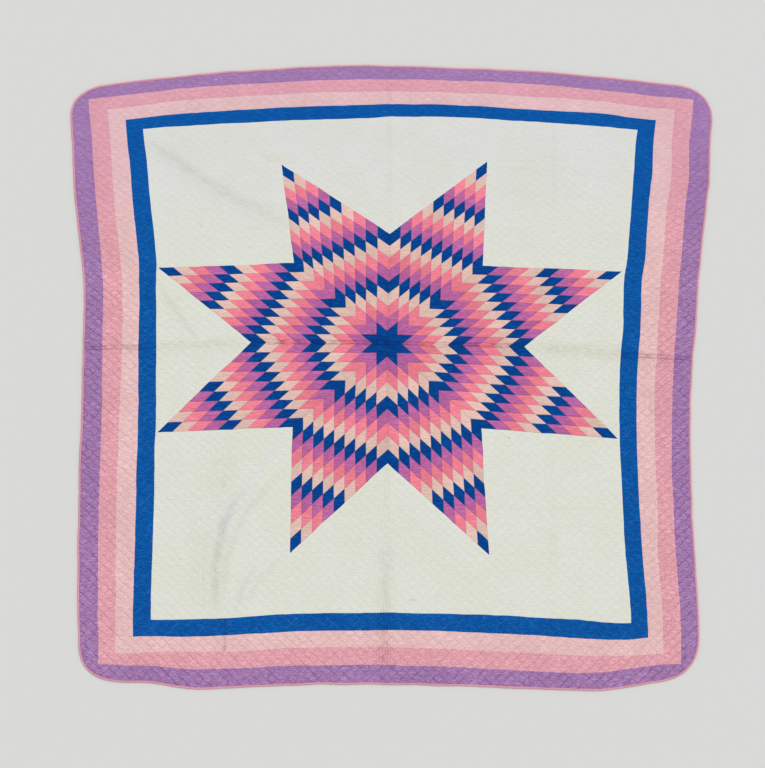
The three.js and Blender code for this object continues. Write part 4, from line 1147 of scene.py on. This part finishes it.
class QUILT_OT_binding(bpy.types.Operator):
    """Bind the quilt's edge with four narrow lengths"""

    bl_idname = "quilt.binding"
    bl_label = "Binding"

    def execute(self, context):
        material = cloths(context.scene.quilt_sizes, "binding")[0]
        corners = {key: rounded_corner(*key) for key in ROUNDING}
        for side in SIDES:
            first, line, last = rounded_side(side, corners, "middle")
            path = unsteady(np.concatenate((first, line[1:-1], last)))
            self.bind(side, path, 1 if side in ("right", "bottom") else -1, material)
        return {"FINISHED"}

    def section(self):
        """Way out from the seam and height of the points round a length, and how far a pucker swells
        each: half a round that starts at the stitches, then a quarter ellipse that drops to the
        floor, and the flat foot."""
        width, height, stitched = BINDING["width"], BINDING["height"], BINDING["stitched"]
        angle = np.linspace(0, np.pi, BINDING["points"])
        front = stitched + (height - stitched) * np.sin(angle)
        up = np.where(angle < np.pi / 2, front, height * np.sin(angle) ** BINDING["fullness"])
        up[-1] = BINDING["rim"]
        out = np.append(width / 2 * (1 - np.cos(angle)), (width - BINDING["tucked"], 0.0))
        return out, np.append(up, (0.0, 0.0)), np.append(np.sin(angle), (0.0, 0.0))

    def bind(self, side, path, turn, material):
        """One length: the section carried along the seam, with small puckers that swell and pinch it."""
        line = even_points(path, 2 * round(lengths(path)[-1] / (2 * BINDING["step"])))
        tangent = np.gradient(line, axis=0)
        tangent /= np.linalg.norm(tangent, axis=1)[:, None]
        outward = np.stack((tangent[:, 1], -tangent[:, 0]), axis=1) * turn
        along = lengths(line)
        run = np.stack((along, 0 * along), axis=1)
        turns = FULL_TURN * along / PUCKER["pitch"] + noise(run, *PUCKER["shift"])
        pucker = (PUCKER["rise"] * np.sin(turns) + noise(run, *PUCKER["uneven"]))[:, None]
        out, up, swell = self.section()
        reach = out + PUCKER["outward"] * pucker * out / BINDING["width"]
        plan = line[:, None] + outward[:, None] * reach[..., None]
        high = up + (pucker + BINDING["creased"] * crease_rise(plan)) * swell
        points = np.dstack((plan, high)).reshape(-1, 3)
        count = len(out)
        index = np.arange(len(points)).reshape(-1, count)
        fan = np.stack((np.zeros(count - 2, int), np.arange(1, count - 1), np.arange(2, count)), axis=1)
        skin = split_faces(np.concatenate((index, index[:, :1]), axis=1))
        triangles = np.concatenate((skin, fan[:, ::-1], fan + index[-1, 0]))[:, ::-turn]
        around = np.append(0, np.cumsum(np.hypot(np.diff(out), np.diff(up))))
        threads = np.dstack(np.broadcast_arrays(along[:, None], around)).reshape(-1, 2) * METRES
        maps = {"hatch": np.full((len(points), 2), 0.5), "cloth": threads}
        slots = np.zeros(len(triangles), int)
        piece = make_mesh(f"sewn_binding_{side}", points, triangles, maps, {}, slots, [material])
        put_in_place(piece, f"binding_{side}")


# The floor's half size and how far it lies below the quilt, the room's and the window's light, and
# the camera: how high it hangs, how wide it sees and the place on the plan that it looks at.
FLOOR = {"half": 9.0, "below": 0.0005, "colour": (0.62, 0.62, 0.61, 1.0), "roughness": 0.9}
ROOM_LIGHT = 0.8
WINDOW = {"energy": 1.25, "angle": 0.2, "towards": (-0.35, -0.62, -0.9)}
CAMERA = {"distance": 6.0, "width": 2.272, "sensor": 36.0, "aim": (-26.0, -17.4)}


class QUILT_OT_stage(bpy.types.Operator):
    """Set a pale floor, soft light and a camera straight above"""

    bl_idname = "quilt.stage"
    bl_label = "Stage"

    def execute(self, context):
        scene = context.scene

        def placed(name, data):
            item = bpy.data.objects.new(name, data)
            scene.collection.objects.link(item)
            return item

        mesh = bpy.data.meshes.new("floor")
        half, below = FLOOR["half"], FLOOR["below"]
        corners = [(x * half, y * half, -below) for x, y in ((-1, -1), (1, -1), (1, 1), (-1, 1))]
        mesh.from_pydata(corners, [], [(0, 1, 2, 3)])
        paint = bpy.data.materials.new("pale_floor")
        paint.use_nodes = True
        inputs = paint.node_tree.nodes["Principled BSDF"].inputs
        inputs["Base Color"].default_value = FLOOR["colour"]
        inputs["Roughness"].default_value = FLOOR["roughness"]
        mesh.materials.append(paint)
        placed("floor", mesh)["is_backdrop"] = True

        world = bpy.data.worlds.new("soft_room")
        world.use_nodes = True
        inputs = world.node_tree.nodes["Background"].inputs
        inputs["Color"].default_value = (1.0, 1.0, 1.0, 1.0)
        inputs["Strength"].default_value = ROOM_LIGHT
        scene.world = world

        light = bpy.data.lights.new("window", "SUN")
        light.energy, light.angle = WINDOW["energy"], WINDOW["angle"]
        lamp = placed("window", light)
        lamp.rotation_mode = "QUATERNION"
        lamp.rotation_quaternion = Vector(WINDOW["towards"]).to_track_quat("-Z", "Y")

        lens = bpy.data.cameras.new("camera")
        lens.sensor_fit, lens.sensor_width = "HORIZONTAL", CAMERA["sensor"]
        lens.lens = CAMERA["sensor"] * CAMERA["distance"] / CAMERA["width"]
        camera = placed("camera", lens)
        camera.location = (*(CAMERA["aim"] + TO_MIDDLE) * METRES, CAMERA["distance"])
        scene.camera = camera
        scene.view_settings.view_transform = "Standard"
        return {"FINISHED"}


class QUILT_PT_panel(bpy.types.Panel):
    """Star quilt"""

    bl_label = "Star quilt"
    bl_idname = "QUILT_PT_panel"
    bl_space_type = "VIEW_3D"
    bl_region_type = "UI"
    bl_category = "Star quilt"

    def draw(self, context):
        sizes = context.scene.quilt_sizes
        for name in sizes.__annotations__:
            self.layout.prop(sizes, name)
        for operator in OPERATORS:
            self.layout.operator(operator.bl_idname)


OPERATORS = (QUILT_OT_star, QUILT_OT_ground, QUILT_OT_borders, QUILT_OT_binding, QUILT_OT_stage)
CLASSES = (QuiltSizes, *OPERATORS, QUILT_PT_panel)


def register():
    for item in CLASSES:
        bpy.utils.register_class(item)
    bpy.types.Scene.quilt_sizes = PointerProperty(type=QuiltSizes)


def unregister():
    del bpy.types.Scene.quilt_sizes
    for item in reversed(CLASSES):
        bpy.utils.unregister_class(item)


def main():
    """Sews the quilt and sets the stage."""
    register()
    bpy.ops.quilt.star()
    bpy.ops.quilt.ground()
    bpy.ops.quilt.borders()
    bpy.ops.quilt.binding()
    bpy.ops.quilt.stage()
    boxes = {"cad": [list(corner) for corner in CAD_BOX], "visual": [list(corner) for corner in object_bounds()]}


if __name__ == "__main__":
    main()
